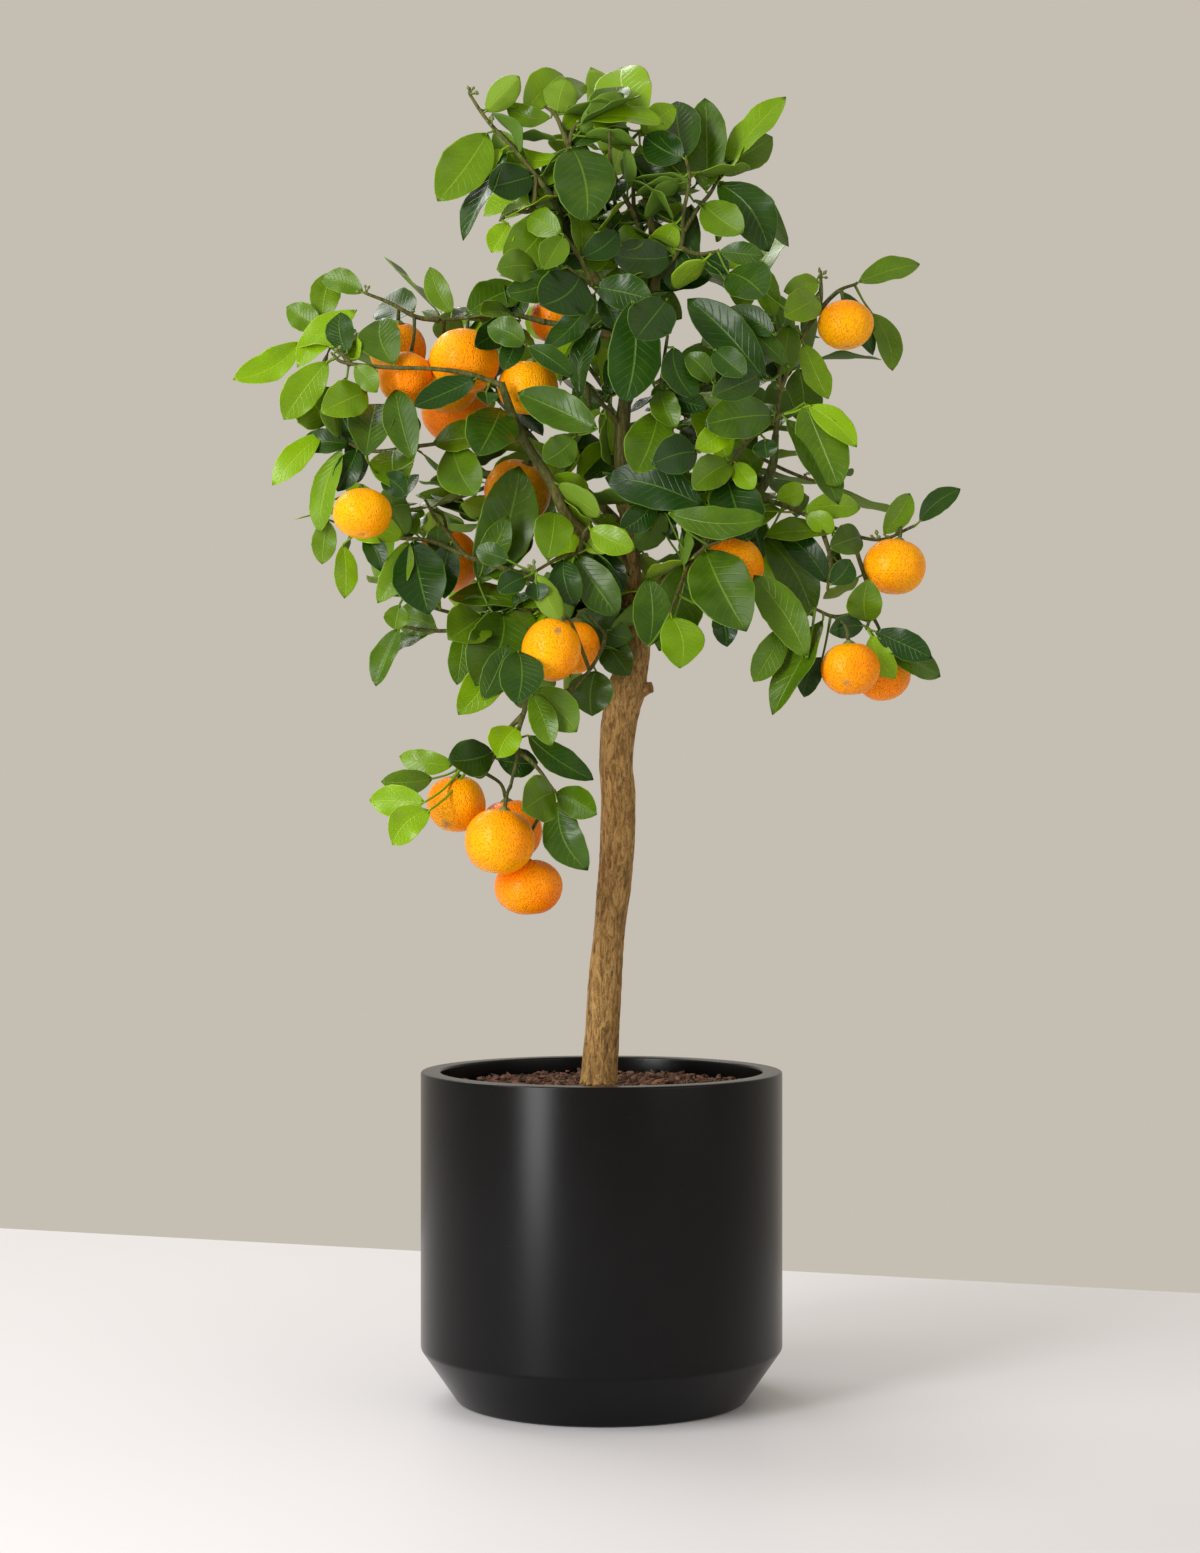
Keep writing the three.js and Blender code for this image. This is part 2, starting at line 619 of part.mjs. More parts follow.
// Shoots behind the crown, whose leaves follow a spiral round each stem.
const BACK_SHOOTS = {
  shoot_back_left_high: {
    from: "limb_back_left",
    stems: [
      { route: [[-48, 616], [-70, 640], [-92, 668], [-104, 690]], depth: 118 },
      { route: [[-70, 640], [-96, 640], [-130, 648]], depth: 84 },
    ],
    fruit: [3],
  },
  shoot_back_left_low: {
    from: "limb_back_left",
    stems: [
      { route: [[-26, 590], [-60, 584], [-100, 570], [-138, 562]], depth: 74 },
      { route: [[-60, 584], [-74, 556], [-84, 522]], depth: 120 },
    ],
  },
  shoot_back_right_high: {
    from: "limb_back_right",
    stems: [
      { route: [[70, 646], [86, 676], [94, 704]], depth: 118 },
      { route: [[80, 662], [106, 666], [136, 660]], depth: 78 },
    ],
  },
  shoot_back_right_low: {
    from: "limb_back_right",
    stems: [
      { route: [[50, 628], [84, 608], [118, 590], [146, 580]], depth: 84 },
      { route: [[84, 608], [92, 574], [96, 532]], depth: 122 },
    ],
  },
  shoot_back_top: {
    from: "limb_back_top",
    stems: [
      { route: [[12, 734], [8, 764], [2, 788]], depth: 74 },
      { route: [[11, 744], [34, 760], [58, 770]], depth: 58 },
      { route: [[11, 742], [-18, 754], [-48, 770]], depth: 60 },
    ],
  },
  shoot_back_middle: {
    from: "trunk",
    stems: [
      { route: [[13, 604], [6, 630], [0, 662], [4, 694]], depth: 134 },
      { route: [[4, 640], [-14, 664], [-34, 690]], depth: 124 },
    ],
  },
  shoot_back_low: {
    from: "trunk",
    stems: [
      { route: [[19, 528], [8, 520], [-10, 506], [-34, 496]], depth: 96 },
      { route: [[8, 520], [36, 510], [66, 508]], depth: 104 },
    ],
  },
};

const SPIRAL_TURN = 2.4; // radians from one leaf to the next
const SPIRAL_STEP = 21; // distance along the stem from one leaf to the next
const SPIRAL_START = 0.22; // bare share of a stem
const SPIRAL_PETIOLE = 7;
const SPIRAL_LEAF = 52; // mean leaf length
const SPIRAL_SPREAD = 0.14; // how much the leaf length varies

// ---- Growing the tree ----

const TRUNK_SPACING = 22;
const STEM_SPACING = 26;
const STEM_SIDES = 4;
const TRUNK_SIDES = 10;
const SAMPLES = 10; // points of a stem's line in each of its steps

// Every piece of wood so far, by name: its solid, the room that it takes and its sketch line.
const wood = {};

// Points close together along a stem's axis, as it was extruded, in the sketch.
function sketchLine(points, spacing) {
  const centres = stemPath(points, spacing).centres;
  const line = centres.slice(1).flatMap((end, i) =>
    Array.from({ length: SAMPLES }, (_, k) => centres[i].clone().lerp(end, k / SAMPLES)),
  );
  return [...line, centres.at(-1)].map(sketched);
}

// The point of some sketch lines that is nearest to a sketch point.
function nearestOn(line, x, z) {
  const distance = ([px, pz]) => Math.hypot(px - x, pz - z);
  return line.reduce((best, point) => (distance(point) < distance(best) ? point : best));
}

// A stem that starts on a line and follows a route to a depth.
function growStem(line, { route, depth }, radii, sides) {
  const start = nearestOn(line, ...route[0]);
  const share = (i) => i / (route.length - 1);
  const points = route.map(([x, z], i) => [x, z, THREE.MathUtils.lerp(start[2], depth, share(i))]);
  points[0] = start;
  const spatial = points.map((point) => place(...point));
  const thickness = points.map((_, i) => THREE.MathUtils.lerp(...radii, share(i)));
  return {
    solid: stem(spatial, thickness, sides, STEM_SPACING),
    room: stemRoom(spatial, thickness, sides, STEM_SPACING),
    line: sketchLine(spatial, STEM_SPACING),
  };
}

// Cuts a piece of wood clear of all the wood that stands already.
function fitted(solid) {
  const standing = Object.values(wood).filter((other) => near(solid, other.room, GAP));
  return mainBody(standing.reduce((cut, other) => cut.subtract(other.room), solid));
}

function growTrunk() {
  const points = TRUNK.map(([x, z, depth]) => place(x, z, depth));
  const radii = TRUNK.map((point) => point[3]);
  const parts = [[points, radii, TRUNK_SIDES]];
  for (const [x, z, depth, radius, reach] of KNOBS) {
    const tip = place(x + reach, z + 1, depth - 2);
    parts.push([[place(x - reach, z - 1, depth), tip], [radius, 0.8 * radius], 6]);
  }
  const crown = place(TRUNK[0][0], TRUNK[0][1] + 8, TRUNK[0][2]);
  for (let i = 0; i < ROOTS; i++) {
    const angle = (2 * Math.PI * (i + 0.3)) / ROOTS;
    const out = new THREE.Vector3(Math.cos(angle), Math.sin(angle), 0);
    const down = (reach, drop) => crown.clone().addScaledVector(out, reach).add({ x: 0, y: 0, z: -drop });
    const route = [crown, down(0.45 * ROOT_REACH, 0.28 * ROOT_DROP), down(ROOT_REACH, ROOT_DROP)];
    parts.push([route, [ROOT_RADIUS, 0.7 * ROOT_RADIUS, 0.3 * ROOT_RADIUS], 6]);
  }
  const join = (make) =>
    parts.map(([route, radii, sides]) => make(route, radii, sides, TRUNK_SPACING)).reduce((a, b) => a.add(b));
  wood.trunk = { solid: join(stem), room: join(stemRoom), line: sketchLine(points, TRUNK_SPACING) };
}

function growLimb(name, limb) {
  const grown = growStem(wood[limb.from].line, limb, limb.radii, limb.sides);
  wood[name] = { ...grown, solid: fitted(grown.solid) };
}

// A fruit, fattened all round by a margin.
function fruitSolid([x, z, depth, across, up], margin) {
  const centre = place(x, z, depth);
  const scale = (FRUIT_SCALE * (VIEW_DISTANCE + depth)) / VIEW_DISTANCE;
  const geometry = new THREE.SphereGeometry(1, FRUIT_SIDES, FRUIT_RINGS);
  geometry.rotateX(Math.PI / 2);
  geometry.scale(across * scale + margin, across * scale + margin, up * scale + margin);
  geometry.translate(centre.x, centre.y, centre.z);
  return solidOf(geometry);
}

// The stalk from a shoot's stems over and down to the top of a fruit.
function fruitStalk(line, fruit) {
  const [x, z, depth, , up] = fruit;
  const top = z + 0.9 * FRUIT_SCALE * up;
  const distance = (p) => Math.hypot(p[0] - x, p[1] - top - 6, p[2] - depth);
  const start = line.reduce((best, point) => (distance(point) < distance(best) ? point : best));
  const over = [0.75 * x + 0.25 * start[0], top + 9, 0.75 * depth + 0.25 * start[2]];
  const route = [start, over, [x, top, depth]].map((point) => place(...point));
  const radii = route.map(() => STALK_RADIUS);
  const cut = (solid) => mainBody(solid.subtract(fruitSolid(fruit, GAP)));
  return {
    solid: cut(stem(route, radii, STEM_SIDES, STEM_SPACING)),
    room: stemRoom(route, radii, STEM_SIDES, STEM_SPACING),
  };
}

const SHOOT_RADII = [1.7, 1];
const BEARER_CLEARANCE = 9;

// The rest of a sketch line past a distance from its start.
function beyond(line, distance) {
  const start = place(...line[0]);
  return line.filter((point) => place(...point).distanceTo(start) > distance);
}

// A shoot's stems and fruit stalks, without its leaves.
function growStems(name, shoot) {
  let solid;
  let room;
  let line = [];
  const lines = [];
  for (const route of shoot.stems) {
    const from = line.length ? line : wood[shoot.from].line;
    const grown = growStem(from, route, SHOOT_RADII, STEM_SIDES);
    solid = solid ? solid.add(grown.solid) : grown.solid;
    room = room ? room.add(grown.room) : grown.room;
    line = line.concat(line.length ? grown.line : beyond(grown.line, BEARER_CLEARANCE));
    lines.push(grown.line);
  }
  for (const number of shoot.fruit ?? []) {
    const stalk = fruitStalk(line, FRUITS[number - 1]);
    solid = solid.add(stalk.solid);
    room = room.add(stalk.room);
  }
  wood[name] = { solid: fitted(solid), room, line, lines };
}

// ---- Leaves ----

// A flat leaf on its petiole, from the stem's axis to its tip, with its upper side towards a
// direction. The blade starts a petiole's length from the axis.
function leafSolid(start, tip, width, upward, petiole) {
  const along = tip.clone().sub(start);
  const length = along.length();
  const waist = petiole + LEAF_WAIST * (length - petiole);
  along.normalize();
  const normal = upward.clone().addScaledVector(along, -upward.dot(along)).normalize();
  const side = along.clone().cross(normal);
  const outline = new THREE.Shape([
    new THREE.Vector2(0, -PETIOLE_ROOT),
    new THREE.Vector2(0.5 * width, waist),
    new THREE.Vector2(0, length),
    new THREE.Vector2(-0.5 * width, waist),
  ]);
  const geometry = new THREE.ExtrudeGeometry(outline, { depth: LEAF_THICKNESS, bevelEnabled: false });
  geometry.applyMatrix4(new THREE.Matrix4().makeBasis(side, along, normal).setPosition(start));
  return solidOf(geometry);
}

// How a leaf drawn in the sketch lies in space. A leaf that looks short for its width points
// to the front (lean 1) or the back (-1), and one that looks narrow for its length shows its
// edge. A nudge moves its tip nearer (below 0) or farther.
function readLeaf([baseX, baseZ, tipX, tipZ, width, lean, nudge = 0], depth) {
  const across = LEAF_SCALE * LEAF_BREADTH * width;
  const tipAt = [baseX + LEAF_SCALE * (tipX - baseX), baseZ + LEAF_SCALE * (tipZ - baseZ)];
  const flat = Math.hypot(tipAt[0] - baseX, tipAt[1] - baseZ);
  const full = Math.max(1.02 * flat, LEAF_SLENDERNESS * across);
  const forward = lean ?? (tipZ < baseZ ? 1 : -1);
  const reach = forward * Math.sqrt(full * full - flat * flat) - nudge;
  const trueWidth = Math.max(across, full / LEAF_NARROWEST);
  return { base: [baseX, baseZ, depth], tipAt, reach, width: trueWidth, turn: Math.acos(across / trueWidth) };
}

const TO_VIEWER = new THREE.Vector3(0, -1, 0);

// The upper side's direction for a leaf turned about its length.
function upperSide(along, turn) {
  const side = along.clone().cross(TO_VIEWER).normalize();
  const face = side.clone().cross(along);
  const turned = [turn, -turn].map((angle) => face.clone().applyAxisAngle(along, angle));
  const upright = turned[0].z > turned[1].z ? turned[0] : turned[1];
  return upright.z < -0.1 ? upright.negate() : upright;
}

const SWINGS = [0, -7, 7, -14, 14, -21, 21, -28, 28, -36, 36, -44, 44];
const SHIFTS = [0, -12, 12, -24, 24, -36, 36];

// Joins a leaf to the nearest point of its shoot's line by a short petiole stalk.
function leafOnStem(line, base, tip, width, upward) {
  const start = place(...nearestOn(line, base[0], base[1]));
  const foot = place(...base);
  const petiole = Math.max(LEAST_PETIOLE, start.distanceTo(foot));
  if (petiole < MOST_PETIOLE) return leafSolid(start, tip, width, upward, petiole);
  const stalk = stem([start, foot], [0.75, 0.65], 3, petiole);
  return leafSolid(foot, tip, width, upward, LEAST_PETIOLE).add(stalk);
}

// The first place of a leaf that is clear of everything, its tip swung or the whole leaf
// shifted in depth a little further with each try.
function fitLeaf(line, row, others) {
  const depth = nearestOn(line, row[0], row[1])[2];
  const leaf = readLeaf(row, depth);
  for (const shift of SHIFTS) {
    for (const swing of SWINGS) {
      const base = [leaf.base[0], leaf.base[1], depth + shift];
      const tip = place(...leaf.tipAt, depth + shift - leaf.reach + swing);
      const upward = upperSide(tip.clone().sub(place(...base)).normalize(), leaf.turn);
      const solid = leafOnStem(line, base, tip, leaf.width, upward);
      if (clear(solid, others)) return solid;
    }
  }
  return null;
}

// Leaves set in a spiral round the stems of a shoot, each turned on until it is clear.
function spiralLeaves(lines, others) {
  const leaves = [];
  for (const line of lines) {
    const points = line.map((point) => place(...point));
    const length = points.slice(1).reduce((sum, p, i) => sum + p.distanceTo(points[i]), 0);
    const count = Math.round((length * (1 - SPIRAL_START)) / SPIRAL_STEP);
    for (let i = 0; i <= count; i++) {
      const index = Math.round((SPIRAL_START + (1 - SPIRAL_START) * (i / count)) * (points.length - 1));
      const at = points[index];
      const ahead = points[Math.min(index + 1, points.length - 1)];
      const along = ahead.clone().sub(points[Math.max(index - 1, 0)]).normalize();
      const leafLength = SPIRAL_LEAF * (1 + SPIRAL_SPREAD * Math.sin(5 * i + points.length + at.x));
      for (let turn = 0; turn < 9; turn++) {
        const angle = SPIRAL_TURN * i + 0.7 * turn;
        const round = new THREE.Vector3(Math.cos(angle), Math.sin(angle), 0.25).normalize();
        const out = round.addScaledVector(along, i === count ? 2 : 0.6).normalize();
        const tip = at.clone().addScaledVector(out, LEAF_SCALE * leafLength);
        const upward = new THREE.Vector3(out.x, out.y, 1.2);
        const solid = leafSolid(at, tip, (LEAF_SCALE * leafLength) / 2.1, upward, SPIRAL_PETIOLE);
        if (!clear(solid, others.concat(leaves))) continue;
        leaves.push(solid);
        break;
      }
    }
  }
  return leaves;
}

// ---- The whole object ----

const COLOURS = {
  pot: [0x17181a, 0.42],
  mix: [0x3a241b, 0.95],
  bark: [0x8b6a45, 0.85],
  leaf: [0x3f6b26, 0.4],
  backLeaf: [0x4a7a2a, 0.4],
  fruit: [0xf08a10, 0.35],
};

const group = new THREE.Group();

function addPiece(name, solid, colour) {
  const [color, roughness] = COLOURS[colour];
  const material = new THREE.MeshStandardMaterial({ color, roughness, metalness: 0 });
  const mesh = new THREE.Mesh(geometryOf(solid), material);
  mesh.name = name;
  group.add(mesh);
  return mesh;
}

growTrunk();
for (const [name, limb] of Object.entries(LIMBS)) growLimb(name, limb);
const allShoots = { ...SHOOTS, ...BACK_SHOOTS };
for (const [name, shoot] of Object.entries(allShoots)) growStems(name, shoot);

const pot = planter();
const fruits = FRUITS.map((fruit) => fruitSolid(fruit, 0));
addPiece("pot", pot, "pot");
addPiece("potting_mix", growingMix(wood.trunk.room), "mix");
addPiece("trunk", wood.trunk.solid, "bark");
for (const name of Object.keys(LIMBS)) addPiece(name, wood[name].solid, "bark");
fruits.forEach((fruit, i) => addPiece("fruit_" + String(i + 1).padStart(2, "0"), fruit, "fruit"));

const taken = [pot, ...fruits];
for (const [name, shoot] of Object.entries(allShoots)) {
  const otherWood = Object.keys(wood).filter((other) => other !== name);
  const others = taken.concat(otherWood.map((other) => wood[other].solid));
  const leaves = [];
  for (const row of shoot.leaves ?? []) {
    // Leaves of one shoot may cross where there is no clear place, as they are one body.
    const line = wood[name].line;
    const leaf = fitLeaf(line, row, others.concat(leaves)) ?? fitLeaf(line, row, others);
    if (leaf) leaves.push(leaf);
  }
  if (!shoot.leaves) leaves.push(...spiralLeaves(wood[name].lines, others));
  taken.push(...leaves);
  const solid = mainBody(leaves.reduce((sum, leaf) => sum.add(leaf), wood[name].solid));
  addPiece(name, solid, shoot.leaves ? "leaf" : "backLeaf");
}

export default group;
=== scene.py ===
"""A potted calamondin: bark, green twigs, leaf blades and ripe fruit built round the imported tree.

Shapes are worked out in millimetres, in the tree's own frame, and meshes are made in metres."""

import math

import bmesh
import bpy
import numpy as np
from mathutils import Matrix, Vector, noise


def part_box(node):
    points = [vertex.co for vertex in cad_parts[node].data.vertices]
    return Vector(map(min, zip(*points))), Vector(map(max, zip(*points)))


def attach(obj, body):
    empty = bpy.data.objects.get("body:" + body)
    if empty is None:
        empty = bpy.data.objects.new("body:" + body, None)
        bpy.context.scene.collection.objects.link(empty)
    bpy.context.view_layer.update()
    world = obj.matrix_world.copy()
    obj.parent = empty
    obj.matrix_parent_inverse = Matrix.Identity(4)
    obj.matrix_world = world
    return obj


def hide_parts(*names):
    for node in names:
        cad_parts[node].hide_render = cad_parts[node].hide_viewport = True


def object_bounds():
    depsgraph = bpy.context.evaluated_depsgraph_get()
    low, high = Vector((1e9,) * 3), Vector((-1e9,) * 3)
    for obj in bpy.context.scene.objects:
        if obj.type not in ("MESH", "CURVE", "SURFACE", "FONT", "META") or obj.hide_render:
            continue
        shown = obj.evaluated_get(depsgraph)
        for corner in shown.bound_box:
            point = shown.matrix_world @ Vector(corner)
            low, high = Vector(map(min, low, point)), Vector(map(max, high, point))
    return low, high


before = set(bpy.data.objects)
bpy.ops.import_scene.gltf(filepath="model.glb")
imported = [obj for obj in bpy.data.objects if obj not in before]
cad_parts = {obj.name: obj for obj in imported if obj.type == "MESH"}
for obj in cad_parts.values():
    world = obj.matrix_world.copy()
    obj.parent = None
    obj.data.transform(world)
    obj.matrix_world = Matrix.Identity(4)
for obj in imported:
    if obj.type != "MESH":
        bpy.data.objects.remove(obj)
cad_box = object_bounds()

MM = 0.001
chance = np.random.default_rng(73)

# The tree is drawn as an eye in front of it sees it. A sketch point is [x, z] in millimetres in
# the plane y = 0, and what grows nearer or farther keeps its line of sight.
VIEW_DISTANCE = 1840
EYE_HEIGHT = 372


def place(x, z, depth):
    """A sketch point at a depth, as a point in space."""
    spread = (VIEW_DISTANCE + depth) / VIEW_DISTANCE
    return np.array([x * spread, depth, EYE_HEIGHT + (z - EYE_HEIGHT) * spread])


def sketched(point):
    """Where a point in space lies in the sketch, then its depth."""
    spread = (VIEW_DISTANCE + point[1]) / VIEW_DISTANCE
    return np.array([point[0] / spread, EYE_HEIGHT + (point[2] - EYE_HEIGHT) / spread, point[1]])


def unit(vector):
    return vector / max(np.linalg.norm(vector), 1e-9)


def node_box(node):
    """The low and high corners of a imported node, in millimetres."""
    low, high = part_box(node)
    return np.array(low) / MM, np.array(high) / MM


POT_LOW, POT_HIGH = node_box("pot")
POT_RADIUS = (POT_HIGH[1] - POT_LOW[1]) / 2
POT_HEIGHT = POT_HIGH[2]
MIX_TOP = node_box("potting_mix")[1][2]

# ---- Materials ----


class Value:
    """A socket in a finish, so that shader sums are written as sums."""

    def __init__(self, finish, socket):
        self.finish = finish
        self.socket = socket

    def math(self, operation, *others):
        values = dict(enumerate((self, *others)))
        return self.finish.node("Math", {"operation": operation}, values)

    def __add__(self, other):
        return self.math("ADD", other)

    def __sub__(self, other):
        return self.math("SUBTRACT", other)

    def __rsub__(self, other):
        return self.finish.node("Math", {"operation": "SUBTRACT"}, {0: other, 1: self})

    def __mul__(self, other):
        return self.math("MULTIPLY", other)

    def __abs__(self):
        return self.math("ABSOLUTE")

    __radd__ = __add__
    __rmul__ = __mul__

    def ramp(self, low, high):
        """0 below low, 1 above high and smooth between them."""
        settings = {"interpolation_type": "SMOOTHSTEP"}
        values = {"Value": self, "From Min": low, "From Max": high}
        return self.finish.node("MapRange", settings, values)


class Finish:
    """A material with one Principled shader."""

    def __init__(self, name, **plain):
        self.material = bpy.data.materials.new(name)
        self.material.use_nodes = True
        self.tree = self.material.node_tree
        self.shader = self.tree.nodes["Principled BSDF"]
        for socket, value in plain.items():
            self.set(socket.replace("_", " "), value)

    def node(self, kind, settings=None, values=None, output=0):
        """Any node: its type, its settings, then the values or links of its sockets."""
        node = self.tree.nodes.new("ShaderNode" + kind)
        for name, value in (settings or {}).items():
            setattr(node, name, value)
        for name, value in (values or {}).items():
            self.join(node.inputs[name], value)
        return Value(self, node.outputs[output])

    def join(self, socket, value):
        if isinstance(value, Value):
            self.tree.links.new(value.socket, socket)
        else:
            socket.default_value = value

    def set(self, socket, value):
        self.join(self.shader.inputs[socket], value)

    def attribute(self, name):
        return self.node("Attribute", {"attribute_name": name}, output="Fac")

    def place(self):
        """Where a point is in the tree's frame, in metres."""
        return self.node("TexCoord", output="Object")

    def stretched(self, x, y, z):
        """The same, scaled on each axis: features per metre for a noise of scale 1."""
        return self.node("Mapping", values={"Vector": self.place(), "Scale": (x, y, z)})

    def noise(self, scale, detail=2, roughness=0.5, vector=None, distortion=0):
        values = {"Vector": vector or self.place(), "Scale": scale, "Detail": detail}
        values.update({"Roughness": roughness, "Distortion": distortion})
        return self.node("TexNoise", values=values)

    def cells(self, scale):
        return self.node("TexVoronoi", values={"Vector": self.place(), "Scale": scale})

    def mix(self, factor, first, second):
        values = {0: factor, 6: first, 7: second}
        return self.node("Mix", {"data_type": "RGBA"}, values, output=2)

    def bump(self, height, distance, strength):
        values = {"Height": height, "Distance": distance, "Strength": strength}
        self.set("Normal", self.node("Bump", values=values))


def rgb(red, green, blue):
    return (red, green, blue, 1)


def leaf_finish(name, deep, fresh):
    """Waxy green above, pale and dull below, with a light midrib, veins and margin."""
    finish = Finish(name, Specular_IOR_Level=0.27)
    tone = finish.attribute("tone")
    under = finish.attribute("under")
    across = abs(finish.attribute("across"))
    along = finish.attribute("along")
    patches = finish.noise(60, 3)
    # A leaf's tone is partly its own green and partly painted shade for leaves within the crown.
    upper = finish.mix((tone + patches * 0.3 - 0.15).ramp(0, 1), deep, fresh)
    lower = finish.mix(tone.ramp(0, 1), rgb(0.08, 0.16, 0.015), rgb(0.2, 0.33, 0.01))
    body = finish.mix(under, upper, lower)
    midrib = 1 - across.ramp(0.012, 0.055)
    fans = (along * 11 - across * 2.2).math("FRACT")
    veins = (1 - abs(fans - 0.5).ramp(0.0, 0.11)) * (1 - across.ramp(0.55, 0.95))
    margin = across.ramp(0.945, 0.99)
    light = finish.mix(tone.ramp(0, 1), rgb(0.13, 0.27, 0.02), rgb(0.42, 0.57, 0.03))
    glands = (1 - finish.cells(1500).ramp(0.1, 0.3)) * 0.12
    colour = finish.mix(veins * 0.1 + glands, body, light)
    colour = finish.mix(margin * 0.75, colour, light)
    colour = finish.mix(midrib * 0.4, colour, light)
    finish.set("Base Color", colour)
    finish.set("Roughness", 0.17 + under * 0.4 + patches * 0.18)
    finish.bump(midrib * -0.7 + veins * -0.35 + patches * 0.6, 0.0005, 0.55)
    return finish.material


def bark_finish():
    """Ochre-brown bark with painted shade in its upright fissures, greener and smoother on thin wood."""
    finish = Finish("fissured_bark", Specular_IOR_Level=0.25)
    crevice = finish.attribute("crevice")
    green = finish.attribute("green")
    fibres = finish.noise(1, 6, 0.68, finish.stretched(780, 780, 210), 0.9)
    plates = finish.noise(1, 4, 0.6, finish.stretched(300, 300, 80), 1.2)
    grain = finish.noise(900, 3)
    ochre = finish.mix(plates.ramp(0.32, 0.66), rgb(0.22, 0.115, 0.03), rgb(0.5, 0.3, 0.1))
    ochre = finish.mix(grain.ramp(0.5, 0.72) * 0.35, ochre, rgb(0.6, 0.44, 0.2))
    # Painted shade: the bark darkens with the depth of its fissures; the fibre streaks added to it are
    # the bark's own grain.
    dark = crevice.ramp(0.2, 0.85) * 0.75
    dark = (dark + (1 - fibres.ramp(0.36, 0.52)) * 0.65).math("MINIMUM", 1)
    woody = finish.mix(dark * 0.85, ochre, rgb(0.085, 0.042, 0.014))
    young = finish.mix(plates.ramp(0.4, 0.62), rgb(0.045, 0.06, 0.012), rgb(0.1, 0.115, 0.022))
    finish.set("Base Color", finish.mix(green, woody, young))
    finish.set("Roughness", 0.86 - green * 0.22)
    finish.bump(fibres * 1.2 + plates + grain * 0.3, 0.0012, 0.8)
    return finish.material


def rind_finish():
    """Orange rind with fine oil pores, redder where it is ripest."""
    finish = Finish("pored_rind", Specular_IOR_Level=0.14)
    ripe = finish.attribute("ripe")
    crown = finish.attribute("crown")
    scar = finish.attribute("scar")
    blush = finish.noise(38, 2)
    pores = finish.cells(720)
    flesh = finish.mix((ripe + blush * 0.5 - 0.25).ramp(0, 1), rgb(1.0, 0.43, 0.0), rgb(0.97, 0.22, 0.0))
    dotted = (1 - pores.ramp(0.08, 0.42)) * 0.15
    flesh = finish.mix(dotted, flesh, rgb(0.86, 0.16, 0.0))
    flesh = finish.mix(crown * 0.55, flesh, rgb(0.5, 0.38, 0.03))
    finish.set("Base Color", finish.mix(scar, flesh, rgb(0.34, 0.2, 0.08)))
    finish.set("Roughness", 0.3 + dotted * 0.4 + scar * 0.3)
    finish.bump(pores.ramp(0.05, 0.5) * 0.8 + blush * 0.4, 0.0009, 0.75)
    return finish.material


def planter_finish():
    """Satin black moulded plastic with a faint grain and a few scuffs."""
    finish = Finish("satin_black_planter", Specular_IOR_Level=0.19)
    grain = finish.noise(1400, 3, 0.6)
    cloud = finish.noise(14, 4, 0.6)
    scuffs = finish.noise(1, 5, 0.7, finish.stretched(30, 30, 700), 0.4).ramp(0.66, 0.8)
    base = finish.mix(cloud.ramp(0.3, 0.75), rgb(0.0016, 0.0015, 0.0018), rgb(0.003, 0.0029, 0.0032))
    finish.set("Base Color", finish.mix(scuffs * 0.3, base, rgb(0.05, 0.05, 0.05)))
    finish.set("Roughness", 0.22 + cloud * 0.06 + scuffs * 0.1)
    finish.bump(grain + cloud * 0.3, 0.00012, 0.35)
    return finish.material


def mix_finish():
    """Damp bark and coir: dark crumbs between rust-brown flakes."""
    finish = Finish("bark_growing_mix", Specular_IOR_Level=0.25)
    flake = finish.attribute("tone")
    crumbs = finish.noise(420, 4, 0.65)
    fibres = finish.noise(1, 4, 0.6, finish.stretched(160, 900, 400), 1.2)
    brown = finish.mix(flake, rgb(0.045, 0.025, 0.018), rgb(0.25, 0.12, 0.07))
    brown = finish.mix(fibres.ramp(0.5, 0.68) * 0.4, brown, rgb(0.36, 0.21, 0.12))
    finish.set("Base Color", finish.mix(crumbs.ramp(0.52, 0.66) * 0.5, brown, rgb(0.018, 0.01, 0.008)))
    finish.set("Roughness", 0.82 + crumbs * 0.12)
    finish.bump(crumbs + fibres * 0.6, 0.0014, 0.9)
    return finish.material


def calyx_finish():
    """Dull green calyx and bud scales."""
    finish = Finish("green_calyx", Specular_IOR_Level=0.3)
    cloud = finish.noise(500, 3)
    finish.set("Base Color", finish.mix(cloud, rgb(0.09, 0.13, 0.03), rgb(0.24, 0.27, 0.07)))
    finish.set("Roughness", 0.6 + cloud * 0.15)
    finish.bump(cloud, 0.0004, 0.5)
    return finish.material


LEAF = leaf_finish("waxy_leaf", rgb(0.0105, 0.042, 0.0025), rgb(0.19, 0.35, 0.002))
BARK = bark_finish()
RIND = rind_finish()
PLANTER = planter_finish()
MIX = mix_finish()
CALYX = calyx_finish()

# ---- Meshes ----


def in_scene(name, data):
    made = bpy.data.objects.new(name, data)
    bpy.context.scene.collection.objects.link(made)
    return made


def mesh_of(name, points, faces):
    """A mesh from points in millimetres."""
    mesh = bpy.data.meshes.new(name)
    mesh.from_pydata([tuple(p) for p in np.asarray(points) * MM], [], faces)
    return mesh


def face_outward(mesh):
    """Turn the faces of closed surfaces outward."""
    shape = bmesh.new()
    shape.from_mesh(mesh)
    bmesh.ops.recalc_face_normals(shape, faces=shape.faces)
    shape.to_mesh(mesh)
    shape.free()


